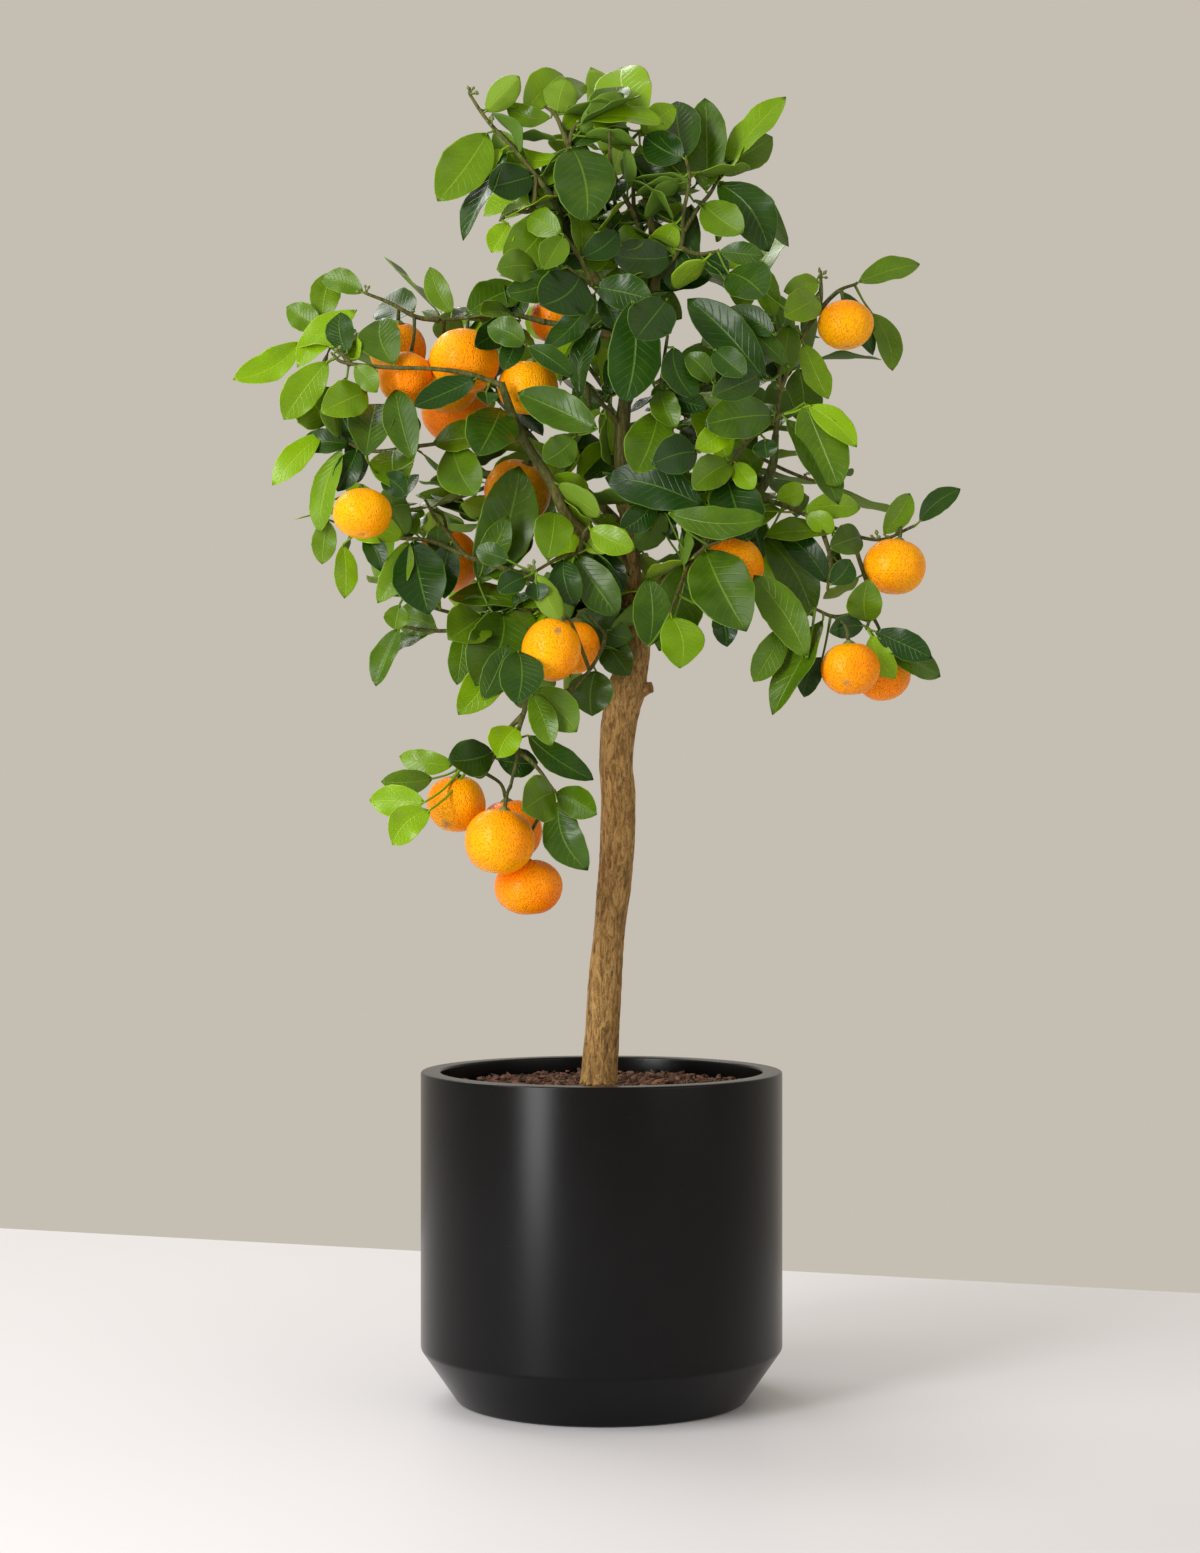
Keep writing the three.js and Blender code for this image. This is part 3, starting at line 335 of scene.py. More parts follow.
class Skin:
    """Vertices, faces and named vertex values of one piece, gathered surface by surface."""

    def __init__(self, *values):
        self.points = []
        self.faces = []
        self.values = {name: [] for name in values}
        self.count = 0

    def add(self, points, faces, **values):
        points = np.asarray(points, float)
        self.points.append(points)
        self.faces.extend(tuple(int(i) + self.count for i in face) for face in faces)
        self.count += len(points)
        for name, store in self.values.items():
            store.append(np.broadcast_to(np.asarray(values.get(name, 0.0), float), len(points)))

    def tube(self, line, widths, sides, relief=None, **values):
        """A closed round stem along a line."""
        points = tube_points(line, widths, sides, relief).reshape(-1, 3)
        self.add(points, ring_faces(len(line), sides), **values)

    def piece(self, name, material, slot, *nodes):
        """The finished piece, on the tree's one body, in the place of the nodes it stands for."""
        mesh = mesh_of(name, np.concatenate(self.points), self.faces)
        for label, store in self.values.items():
            layer = mesh.attributes.new(label, "FLOAT", "POINT")
            layer.data.foreach_set("value", np.concatenate(store).astype(np.float32))
        face_outward(mesh)
        mesh.shade_smooth()
        mesh.materials.append(material)
        made = in_scene(name, mesh)
        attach(made, "root")
        if nodes:
            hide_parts(*nodes)
        return made


def round_angles(sides):
    """Angles spaced evenly round a circle."""
    return np.arange(sides) * 2 * math.pi / sides


def band_faces(bands, sides, first=0):
    """The square faces between rings of points, counted from the first ring's first point."""
    faces = []
    for start in range(first, first + bands * sides, sides):
        for side in range(sides):
            a, b = start + side, start + (side + 1) % sides
            faces.append((a, b, b + sides, a + sides))
    return faces


def ring_faces(rings, sides):
    """Faces of a tube of rings, its two end rings closed by flat faces."""
    last = (rings - 1) * sides
    ends = [tuple(reversed(range(sides))), tuple(range(last, last + sides))]
    return band_faces(rings - 1, sides) + ends


def turned(profile, sides):
    """A closed turned body from [radius, height] points that start and end on the axis."""
    angles = round_angles(sides)
    points = [(0, 0, profile[0][1])]
    for radius, height in profile[1:-1]:
        points.extend(zip(radius * np.cos(angles), radius * np.sin(angles), np.full(sides, height)))
    points.append((0, 0, profile[-1][1]))
    bands = len(profile) - 3
    base, last = 1 + bands * sides, len(points) - 1
    faces = [(0, 1 + (side + 1) % sides, 1 + side) for side in range(sides)]
    faces += band_faces(bands, sides, first=1)
    faces += [(last, base + side, base + (side + 1) % sides) for side in range(sides)]
    return np.array(points), faces


def smooth_line(points, radii, step):
    """Points and radii close together on a smooth line through given points."""
    points = np.asarray(points, float)
    radii = np.asarray(radii, float)
    before = np.vstack([2 * points[0] - points[1], points, 2 * points[-1] - points[-2]])
    line, widths = [], []
    for i in range(len(points) - 1):
        p0, p1, p2, p3 = before[i : i + 4]
        count = max(2, round(np.linalg.norm(p2 - p1) / step))
        for t in np.arange(count) / count:
            bend = (2 * p0 - 5 * p1 + 4 * p2 - p3) * t * t + (3 * p1 - p0 - 3 * p2 + p3) * t**3
            line.append(0.5 * (2 * p1 + (p2 - p0) * t + bend))
            widths.append(radii[i] + (radii[i + 1] - radii[i]) * t * t * (3 - 2 * t))
    return np.array(line + [points[-1]]), np.array(widths + [radii[-1]])


def frames_along(line):
    """Direction and two cross directions at each point of a line, turning as little as possible."""
    ahead = np.gradient(line, axis=0)
    ahead /= np.linalg.norm(ahead, axis=1)[:, None]
    first = unit(np.cross(ahead[0], (0.13, 1, 0.21)))
    across = [first]
    for direction in ahead[1:]:
        across.append(unit(across[-1] - direction * across[-1].dot(direction)))
    across = np.array(across)
    return ahead, across, np.cross(ahead, across)


def tube_points(line, widths, sides, relief=None):
    """The rings of a round stem; relief gives an outward push in mm for each ring and side."""
    _, across, beside = frames_along(line)
    angles = round_angles(sides)[None, :, None]
    radii = np.repeat(widths[:, None], sides, 1)
    if relief is not None:
        radii = radii + relief
    around = across[:, None] * np.cos(angles) + beside[:, None] * np.sin(angles)
    return line[:, None] + around * radii[:, :, None]


def noise_at(points, scale, seed=0.0):
    """Soft noise from -1 to 1 at each point, its scale in features per mm."""
    return np.array([noise.noise(Vector(p) * scale + Vector((seed, 0, 0))) for p in points])


# ---- Planter and growing mix ----

FOOT_RADIUS = 92
FOOT_HEIGHT = 33
RIM_WIDTH = 12.6
RIM_DEPTH = 18
EDGE = 1.6  # how far each corner of the shell is rounded
TURNED_SIDES = 160
WALL = 4
FLOOR = 5
DRAIN_HOLES = 3
DRAIN_RADIUS = 6
DRAIN_CIRCLE = 45
DRAIN_SIDES = 40
CUT_PAST = 3  # how far a drain cutter stands out of the floor on each side
INNER_RADIUS = POT_RADIUS - WALL
LIP_HEIGHT = POT_HEIGHT - RIM_DEPTH
INNER_FOOT = FOOT_RADIUS - WALL + FLOOR * (POT_RADIUS - FOOT_RADIUS) / FOOT_HEIGHT


def rounded(profile, radius):
    """A profile with each inner corner turned into a small arc."""
    out = [profile[0]]
    for before, corner, after in zip(profile, profile[1:], profile[2:]):
        corner = np.array(corner, float)
        arms = [np.array(end, float) - corner for end in (before, after)]
        reach = min(radius, *(0.45 * np.linalg.norm(arm) for arm in arms))
        ends = [corner + unit(arm) * reach for arm in arms]
        for t in (0, 0.25, 0.5, 0.75, 1):
            out.append((1 - t) ** 2 * ends[0] + 2 * t * (1 - t) * corner + t * t * ends[1])
    return out + [profile[-1]]


def cut_away(piece, points, faces):
    """Cut a closed shape out of a piece and drop the shape."""
    mesh = mesh_of("cutter", points, faces)
    face_outward(mesh)
    cutter = in_scene("cutter", mesh)
    change = piece.modifiers.new("cut", "BOOLEAN")
    change.operation = "DIFFERENCE"
    change.solver = "EXACT"
    change.object = cutter
    view = bpy.context.view_layer
    view.update()
    cut = bpy.data.meshes.new_from_object(piece.evaluated_get(view.depsgraph))
    piece.modifiers.remove(change)
    piece.data = cut
    bpy.data.objects.remove(cutter)


def planter():
    """The pot's shell with its in-turned rim, sloping foot and drainage holes."""
    rim = POT_RADIUS - RIM_WIDTH
    outline = [
        (0, 0), (FOOT_RADIUS, 0), (POT_RADIUS, FOOT_HEIGHT), (POT_RADIUS, POT_HEIGHT),
        (rim, POT_HEIGHT), (rim, LIP_HEIGHT), (INNER_RADIUS, LIP_HEIGHT),
        (INNER_RADIUS, FOOT_HEIGHT + WALL), (INNER_FOOT, FLOOR), (0, FLOOR),
    ]
    skin = Skin()
    skin.add(*turned(rounded(outline, EDGE), TURNED_SIDES))
    shell = skin.piece("planter_shell", PLANTER, "planter", "pot")
    low, high = -CUT_PAST, FLOOR + CUT_PAST
    points, faces = turned([(0, low), (DRAIN_RADIUS, low), (DRAIN_RADIUS, high), (0, high)], DRAIN_SIDES)
    for angle in round_angles(DRAIN_HOLES):
        middle = np.array([math.cos(angle), math.sin(angle), 0]) * DRAIN_CIRCLE
        cut_away(shell, points + middle, faces)


# How far the mix stands clear of the rim, the wall and the floor, how fine its surface is, and
# how many flakes lie on it.
RIM_GAP = 0.6
WALL_GAP = 0.5
FLOOR_GAP = 0.4
MIX_RINGS = 64
MIX_SIDES = 150
FLAKES = 2600


def growing_mix():
    """A bumpy surface with loose flakes of bark lying on it."""
    radius = POT_RADIUS - RIM_WIDTH - RIM_GAP
    angles = round_angles(MIX_SIDES)
    circle = np.column_stack([np.cos(angles), np.sin(angles), np.zeros(MIX_SIDES)])
    reaches = radius * np.arange(1, MIX_RINGS + 1) / MIX_RINGS
    points = np.vstack([(0, 0, 0)] + [circle * reach for reach in reaches]) + (0, 0, MIX_TOP)
    bumps = noise_at(points, 0.09, 3) * 2.2 + np.abs(noise_at(points, 0.3, 9)) * 3.2
    bumps += noise_at(points, 0.8, 5)
    points[:, 2] += bumps - 2.6
    outer = INNER_RADIUS - WALL_GAP
    walls = [
        (radius, LIP_HEIGHT - WALL_GAP), (outer, LIP_HEIGHT - WALL_GAP),
        (outer, FOOT_HEIGHT + WALL), (INNER_FOOT - WALL_GAP, FLOOR + FLOOR_GAP),
    ]
    skirt = np.vstack([circle * reach + (0, 0, height) for reach, height in walls])
    faces = [(0, 1 + side, 1 + (side + 1) % MIX_SIDES) for side in range(MIX_SIDES)]
    for a, b, c, d in band_faces(MIX_RINGS - 1 + len(walls), MIX_SIDES, first=1):
        faces.append((a, d, c, b))
    bottom = len(points) + len(skirt) - MIX_SIDES
    faces.append(tuple(reversed(range(bottom, bottom + MIX_SIDES))))
    tone = np.concatenate([0.25 + 0.5 * noise_at(points, 0.22, 17), np.full(len(skirt), 0.1)])
    bed = Skin("tone")
    bed.add(np.vstack([points, skirt]), faces, tone=np.clip(tone, 0, 1))
    bed.piece("growing_mix_bed", MIX, "growing_mix", "potting_mix")
    flakes = Skin("tone")
    for _ in range(FLAKES):
        at = radius * math.sqrt(chance.random()) * 0.975
        angle = chance.uniform(0, 2 * math.pi)
        height = MIX_TOP + chance.uniform(-2.4, 1.2)
        add_flake(flakes, np.array([at * math.cos(angle), at * math.sin(angle), height]))
    flakes.piece("bark_flakes", MIX, "growing_mix")


FLAKE = [(-1, -0.7), (0.2, -1), (1, -0.3), (0.8, 0.8), (-0.4, 1), (-1.1, 0.3)]
FLAKE_REACH = POT_RADIUS - RIM_WIDTH - WALL_GAP


def add_flake(skin, centre):
    """One chip of bark: an uneven flat lump, tilted as it fell."""
    length = chance.gamma(2.2, 1.15) + 1.3
    breadth, height = length * chance.uniform(0.35, 0.75), length * chance.uniform(0.12, 0.3)
    corners = np.array([(x, y, z) for z in (-1, 1) for x, y in FLAKE])
    corners = corners * (np.array([length, breadth, height]) / 2)
    corners = corners * chance.uniform(0.75, 1.2, corners.shape)
    turn, tilt, roll = chance.uniform(0, 2 * math.pi), chance.normal(0, 0.32), chance.normal(0, 0.32)
    cos, sin = math.cos(turn), math.sin(turn)
    points = centre + corners @ np.array([(cos, -sin, 0), (sin, cos, 0), (tilt, roll, 1)]).T
    reach = np.hypot(points[:, 0], points[:, 1])
    points[:, :2] *= np.minimum(1, FLAKE_REACH / np.maximum(reach, 1e-6))[:, None]
    tone = float(np.clip(chance.normal(0.42, 0.3), 0, 1.3))
    skin.add(points, ring_faces(2, len(FLAKE)), tone=tone)


# ---- Wood ----

# Trunk and leader: [x, z, depth, radius] in the sketch.
TRUNK = [
    (-2, MIX_TOP - 22, 14, 14), (-1.8, MIX_TOP, 14, 11.2), (1.8, 253, 12, 10.9),
    (5, 300, 11, 10.1), (8.7, 330, 11, 10.8), (10.6, 380, 10, 11.1),
    (9, 403, 10, 10.9), (11.6, 431, 9, 11.5), (15, 449, 8, 12.6),
    (21, 470, 7, 9.6), (22, 485, 6, 9.2), (22, 503, 4, 8),
    (19, 524, 2, 6.4), (18, 545, 0, 5.7), (13, 600, 0, 5),
    (15, 635, 0, 4.5), (22, 670, 0, 4), (33, 707, 0, 3.5),
    (33, 737, 0, 3), (28, 763, 0, 2.5),
]

# Woody limbs: what bears each, its radius at each end, its route and the depth of its far end.
LIMBS = {
    "limb_right_long": ("trunk", (4.4, 2.5), [
        (30, 500), (48, 527), (69, 549), (92, 566), (108, 590), (111, 613)], -14),
    "limb_left_long": ("trunk", (4.5, 2.6), [
        (19, 522), (5, 539), (-19, 557), (-33, 584), (-52, 614), (-64, 646)], -34),
    "limb_left_low": ("trunk", (3.8, 2.2), [(14, 508), (-10, 512), (-35, 519), (-60, 527)], -22),
    "limb_hanging": ("trunk", (2.9, 2), [
        (16, 492), (-15, 490), (-25, 485), (-40, 465), (-48, 441)], -46),
    "limb_left_high": ("trunk", (2.9, 2), [(22, 668), (0, 678), (-20, 682), (-37, 685)], 6),
    "limb_crown_left": ("trunk", (3, 1.9), [
        (20, 662), (5, 698), (-10, 722), (-19, 737), (-30, 761), (-37, 772)], -16),
    "limb_back_left": ("trunk", (3.4, 2), [(18, 548), (-2, 570), (-28, 592), (-50, 618)], 92),
    "limb_back_right": ("trunk", (3.4, 2), [(14, 580), (30, 606), (52, 630), (72, 648)], 96),
    "limb_back_top": ("trunk", (2.6, 1.8), [(28, 690), (20, 712), (12, 736)], 66),
}

# Shoots: what bears each, the numbers of its fruits, and its stems' routes and far depths.
SHOOTS = {
    "shoot_top_left": ("limb_crown_left", (), [
        ([(-36, 770), (-55, 794), (-70, 810), (-77, 819), (-84, 830)], -8),
        ([(-31, 762), (-44, 757), (-56, 755), (-64, 750)], -32),
    ]),
    "shoot_top": ("limb_crown_left", (), [
        ([(-30, 761), (-27, 780), (-21, 797), (-18, 808), (-10, 813)], -10),
        ([(-22, 797), (-29, 816), (-36, 822)], 4),
    ]),
    "shoot_crest": ("trunk", (), [
        ([(32, 722), (22, 750), (20, 775), (18, 797), (26, 808)], 6),
        ([(20, 752), (12, 770), (6, 786), (5, 806)], -22),
    ]),
    "shoot_crown_right": ("trunk", (), [
        ([(34, 708), (50, 732), (52, 753), (56, 775), (54, 788)], -14),
        ([(52, 742), (62, 758), (70, 768), (77, 783)], 14),
        ([(50, 732), (62, 728), (74, 730)], -40),
    ]),
    "shoot_left_high": ("limb_left_high", (5, 2, 1, 6), [
        ([(-36, 685), (-57, 689.5), (-73, 689), (-90, 687), (-108, 686)], 8),
        ([(-104, 688), (-118, 688), (-135, 697), (-150, 703)], 0),
    ]),
    "shoot_left_tip": ("limb_left_long", (), [
        ([(-64, 645), (-86, 652), (-108, 655), (-138, 656), (-164, 659), (-171, 664)], -38),
        ([(-160, 658), (-170, 672), (-178, 682)], 10),
    ]),
    "shoot_left_mid": ("limb_left_long", (), [
        ([(-50, 609), (-70, 607), (-90, 609), (-115, 606), (-150, 603), (-174, 618)], -12),
        ([(-118, 606), (-130, 592), (-142, 588)], -36),
    ]),
    "shoot_left_inner": ("trunk", (4,), [
        ([(13, 618), (-10, 645), (-23, 657), (-48, 670)], -62),
        ([(-10, 643), (-8, 626), (-16, 612)], -58),
    ]),
    "shoot_centre": ("trunk", (), [
        ([(20, 530), (33, 557), (36, 590), (38, 645), (42, 676)], -48),
        ([(37, 600), (50, 606), (62, 602)], -56),
    ]),
    "shoot_upper_centre": ("trunk", (10,), [
        ([(22, 668), (8, 690), (-4, 706), (-22, 720)], -52),
        ([(-6, 708), (-14, 726), (-24, 740)], -44),
    ]),
    "shoot_left_low": ("limb_left_low", (7, 9), [
        ([(-60, 527), (-86, 535.6), (-108, 545), (-126, 547), (-148, 549), (-160, 556)], -20),
        ([(-88, 537), (-98, 550), (-106, 560), (-112, 571)], -6),
    ]),
    "shoot_left_under": ("limb_hanging", (), [
        ([(-15, 490), (-40, 502), (-64, 499), (-82, 497), (-108, 503), (-127, 512)], -34),
        ([(-66, 499), (-84, 490), (-106, 488), (-128, 491)], -22),
    ]),
    "shoot_hanging": ("limb_hanging", (18, 19, 20, 21), [
        ([(-47, 444), (-54, 420), (-54, 407), (-58, 389)], -56),
        ([(-50, 436), (-60, 424), (-69, 407), (-77, 395), (-88, 402)], -46),
        ([(-55, 412), (-42, 402), (-30, 386)], -60),
    ]),
    "shoot_below": ("limb_hanging", (11, 12), [
        ([(-8, 492), (2, 487), (-3, 470), (-18, 450)], -86),
        ([(-18, 450), (-36, 448), (-54, 456)], -92),
    ]),
    "shoot_fork": ("limb_left_long", (8,), [
        ([(2, 541), (-12, 538), (-26, 535), (-42, 526)], -54),
        ([(-14, 538), (-12, 548), (-8, 555)], -40),
    ]),
    "shoot_right_high": ("limb_right_long", (13,), [
        ([(111, 612), (113, 640), (113, 666), (111, 684)], -20),
        ([(115, 640), (127, 673), (139, 695), (139.7, 716)], 8),
        ([(137, 690), (150, 704), (162, 709)], 28),
    ]),
    "shoot_right_inner": ("limb_right_long", (), [
        ([(48, 525), (62, 538), (73, 572), (80, 590), (93, 608), (115, 626)], -42),
        ([(92, 606), (84, 618), (78, 634), (72, 645)], -56),
    ]),
    "shoot_right_low": ("limb_right_long", (15,), [
        ([(98, 574), (116, 568), (130, 562), (147, 554), (176, 546), (199, 554.8)], -16),
        ([(138, 557), (146, 533), (144, 515)], -40),
    ]),
    "shoot_right_hang": ("shoot_right_low", (16, 17), [
        ([(160, 550), (164, 534), (170, 515), (172, 500), (169, 490)], -46),
        ([(171, 502), (150, 497), (136, 502)], -58),
    ]),
    "shoot_right_under": ("limb_right_long", (14,), [
        ([(50, 530), (60, 536), (66, 541), (75, 545)], -66),
        ([(56, 534), (50, 516), (44, 500)], -60),
    ]),
    "shoot_back_left_high": ("limb_back_left", (3,), [
        ([(-48, 616), (-70, 640), (-92, 668), (-104, 690)], 118),
        ([(-70, 640), (-96, 640), (-130, 648)], 84),
    ]),
    "shoot_back_left_low": ("limb_back_left", (), [
        ([(-26, 590), (-60, 584), (-100, 570), (-138, 562)], 74),
        ([(-60, 584), (-74, 556), (-84, 522)], 120),
    ]),
    "shoot_back_right_high": ("limb_back_right", (), [
        ([(70, 646), (86, 676), (94, 704)], 118),
        ([(80, 662), (106, 666), (136, 660)], 78),
    ]),
    "shoot_back_right_low": ("limb_back_right", (), [
        ([(50, 628), (84, 608), (118, 590), (146, 580)], 84),
        ([(84, 608), (92, 574), (96, 532)], 122),
    ]),
    "shoot_back_top": ("limb_back_top", (), [
        ([(12, 734), (8, 764), (2, 788)], 74),
        ([(11, 744), (34, 760), (58, 770)], 58),
        ([(11, 742), (-18, 754), (-48, 770)], 60),
    ]),
    "shoot_back_middle": ("trunk", (), [
        ([(13, 604), (6, 630), (0, 662), (4, 694)], 134),
        ([(4, 640), (-14, 664), (-34, 690)], 124),
    ]),
    "shoot_back_low": ("trunk", (), [
        ([(19, 528), (8, 520), (-10, 506), (-34, 496)], 96),
        ([(8, 520), (36, 510), (66, 508)], 104),
    ]),
}

SHOOT_RADII = (1.7, 1.0)
BEARER_CLEARANCE = 9
LINE_STEP = 1.5
TRUNK_STEP = 1.6
TRUNK_SIDES = 56
LIMB_SIDES = 20
ROOT_SIDES = 12
TWIG_SIDES = 10
BUD_SIDES = 7

# Every stem's line in space by name: what leaves, stalks and other stems start on.
wood = {}


def nearest_on(line, x, z):
    """The number of the point of a line that is nearest to a place in the sketch."""
    flat = np.array([sketched(point)[:2] for point in line])
    return int(np.argmin(np.hypot(flat[:, 0] - x, flat[:, 1] - z)))


def stem_line(bearer, route, depth, radii):
    """The line of a stem that starts on its bearer's line and follows a route to a depth."""
    start = sketched(bearer[nearest_on(bearer, *route[0])])
    last = len(route) - 1
    points = [(x, z, start[2] + (depth - start[2]) * i / last) for i, (x, z) in enumerate(route)]
    points[0] = tuple(start)
    widths = [radii[0] + (radii[1] - radii[0]) * i / last for i in range(last + 1)]
    return smooth_line([place(*point) for point in points], widths, LINE_STEP)


def fissures(line, widths, sides, depth, seed):
    """How far the bark of a stem stands in or out, in mm, and how deep each place lies, by which the
    bark is darkened as painted shade.
    """
    steps = np.linalg.norm(np.diff(line, axis=0), axis=1)
    along = np.concatenate([[0], np.cumsum(steps)])
    relief = np.zeros((len(line), sides))
    crevice = np.zeros((len(line), sides))
    for ring, (width, height) in enumerate(zip(widths, along)):
        for side in range(sides):
            angle = 2 * math.pi * side / sides
            x, y = width * math.cos(angle), width * math.sin(angle)
            coarse = noise.noise(Vector((x * 0.42, y * 0.42, height * 0.045 + seed)))
            fine = noise.noise(Vector((x * 1.1, y * 1.1, height * 0.12 + seed)))
            lump = noise.noise(Vector((x * 0.08, y * 0.08, height * 0.03 - seed)))
            groove = max(0.0, 1 - abs(coarse) * 7) * 0.7 + max(0.0, 1 - abs(fine) * 5) * 0.3
            crevice[ring, side] = groove
            relief[ring, side] = depth * (lump * 1.6 + fine * 0.5 - groove * 0.9)
    return relief, crevice


def woody_tube(skin, line, widths, sides, depth, seed, green):
    """A stem with fissured bark, green from 0 for old wood to 1 for a twig."""
    relief, crevice = fissures(line, widths, sides, depth, seed)
    # The fissures' depth goes to the bark as painted shade.
    skin.tube(line, widths, sides, relief, crevice=crevice.ravel(), green=green)


# Knobs on the trunk: [x, z, depth, radius, reach to the right] in the sketch.
KNOBS = [(26, 451, 6, 5, 6), (9, 404, 9, 5, -9.5), (14, 505, 2, 3.4, -8), (8, 449, 6, 5, -7)]
KNOB_SIDES = 20
ROOTS = 4
ROOT_REACH = 62
ROOT_DROP = 84
ROOT_RADIUS = 5.5
FOOT_SWELL = 1.6
GREEN_FROM = 505
GREEN_OVER = 90


def add_knob(skin, x, z, depth, radius, reach):
    """The stub of a lost twig."""
    ends = [place(x - reach * 0.6, z, depth), place(x, z, depth), place(x + reach, z + 1, depth - 2)]
    line, widths = smooth_line(ends, [radius, radius * 1.05, radius * 0.7], 1)
    woody_tube(skin, line, widths, KNOB_SIDES, 0.5, 11.0 + z, 0.0)


def add_root(skin, number, crown):
    """One main root, down and outward from the root crown."""
    angle = 2 * math.pi * (number + 0.3) / ROOTS
    out = np.array([math.cos(angle), math.sin(angle), 0])
    middle = crown + out * 0.45 * ROOT_REACH - (0, 0, 0.28 * ROOT_DROP)
    end = crown + out * ROOT_REACH - (0, 0, ROOT_DROP)
    radii = [ROOT_RADIUS, 0.7 * ROOT_RADIUS, 0.3 * ROOT_RADIUS]
    line, widths = smooth_line([crown, middle, end], radii, 3)
    woody_tube(skin, line, widths, ROOT_SIDES, 0.3, 30.0 + number, 0.0)


def trunk():
    """The trunk with its knobs, a swollen foot and the main roots in the mix."""
    rows = np.array(TRUNK, float)
    line, widths = smooth_line([place(*row[:3]) for row in rows], rows[:, 3], TRUNK_STEP)
    wood["trunk"] = line
    height = line[:, 2]
    swell = FOOT_SWELL * np.exp(-np.maximum(height - MIX_TOP, 0) / 9) * (height > MIX_TOP - 4)
    green = np.repeat(np.clip((height - GREEN_FROM) / GREEN_OVER, 0, 0.85), TRUNK_SIDES)
    skin = Skin("crevice", "green")
    woody_tube(skin, line, widths + swell, TRUNK_SIDES, 0.55, 3.0, green)
    for knob in KNOBS:
        add_knob(skin, *knob)
    x, z, depth, _ = TRUNK[0]
    for number in range(ROOTS):
        add_root(skin, number, place(x, z + 8, depth))
    skin.piece("trunk_wood", BARK, "bark", "trunk")


def limb(name, bearer, radii, route, depth):
    """A woody limb with a collar where it leaves its bearer, greener towards its end."""
    line, widths = stem_line(wood[bearer], route, depth, radii)
    wood[name] = line
    collar = 0.25 * radii[0] * np.exp(-np.arange(len(line)) * LINE_STEP / 7)
    green = np.clip(0.6 + 0.5 * np.linspace(0, 1, len(line)), 0, 1)
    skin = Skin("crevice", "green")
    woody_tube(skin, line, widths + collar, LIMB_SIDES, 0.3, route[0][0] * 0.37,
               np.repeat(green, LIMB_SIDES))
    skin.piece(name.replace("limb", "wood"), BARK, "bark", name)


# ---- Leaves as the frame holds them ----

FLAT = 0.01  # how far the normals of one blade's triangles may differ
LEVEL = 0.2  # how far apart their planes may lie, in mm
LEAF_FACE = 45  # least area of a blade in square mm
SEED_FACE = 15  # least area of a triangle that a blade is looked for from
LEAF_BREADTH = 2.8  # least area over length: stems are narrower
WIDEST_LEAF = 39


def blade_faces(node):
    """The flat faces of a shoot's blades that look up: normal, area and corner points."""
    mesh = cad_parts[node].data
    mesh.calc_loop_triangles()
    points = np.array([v.co for v in mesh.vertices]) / MM
    corners = points[np.array([t.vertices for t in mesh.loop_triangles])]
    normals = np.cross(corners[:, 1] - corners[:, 0], corners[:, 2] - corners[:, 0])
    doubled = np.linalg.norm(normals, axis=1)
    keep = doubled > 1e-3
    corners, normals, doubled = corners[keep], normals[keep] / doubled[keep, None], doubled[keep]
    offsets = (normals * corners[:, 0]).sum(1)
    free = np.ones(len(corners), bool)
    for seed in np.argsort(-doubled):
        if not free[seed] or doubled[seed] < 2 * SEED_FACE:
            continue
        same = free & (np.abs(normals - normals[seed]).max(1) < FLAT)
        same &= np.abs(offsets - offsets[seed]) < LEVEL
        free &= ~same
        area = doubled[same].sum() / 2
        if normals[seed][2] >= 0 and area >= LEAF_FACE:
            yield normals[seed], area, np.unique(corners[same].reshape(-1, 3).round(3), axis=0)


def framed_leaves(node, lines):
    """Each blade's foot, tip, width and upper side, and where its petiole leaves the stem."""
    stems = np.vstack(lines)
    for normal, area, corners in blade_faces(node):
        gaps = np.linalg.norm(corners[:, None] - corners[None], axis=2)
        i, j = np.unravel_index(np.argmax(gaps), gaps.shape)
        if area / gaps[i, j] < LEAF_BREADTH:
            continue
        reach = [np.linalg.norm(stems - corners[k], axis=1).min() for k in (i, j)]
        tip, near = (corners[i], corners[j]) if reach[0] > reach[1] else (corners[j], corners[i])
        side = np.cross(unit(tip - near), normal)
        spans = (corners - near) @ side
        left, right = corners[np.argmin(spans)], corners[np.argmax(spans)]
        waist = (left + right) / 2
        length = 2 * np.linalg.norm(tip - waist)
        along = unit(tip - waist)
        foot = tip - along * length
        stem = stems[np.linalg.norm(stems - foot, axis=1).argmin()]
        foot = foot - along * min(0.12 * length, 0.6 * np.linalg.norm(foot - stem))
        width = max(1.07 * np.linalg.norm(right - left), 0.34 * length)
        yield {"foot": foot, "tip": tip + along * 0.02 * length, "width": min(width, WIDEST_LEAF),
               "up": normal, "stem": stem}
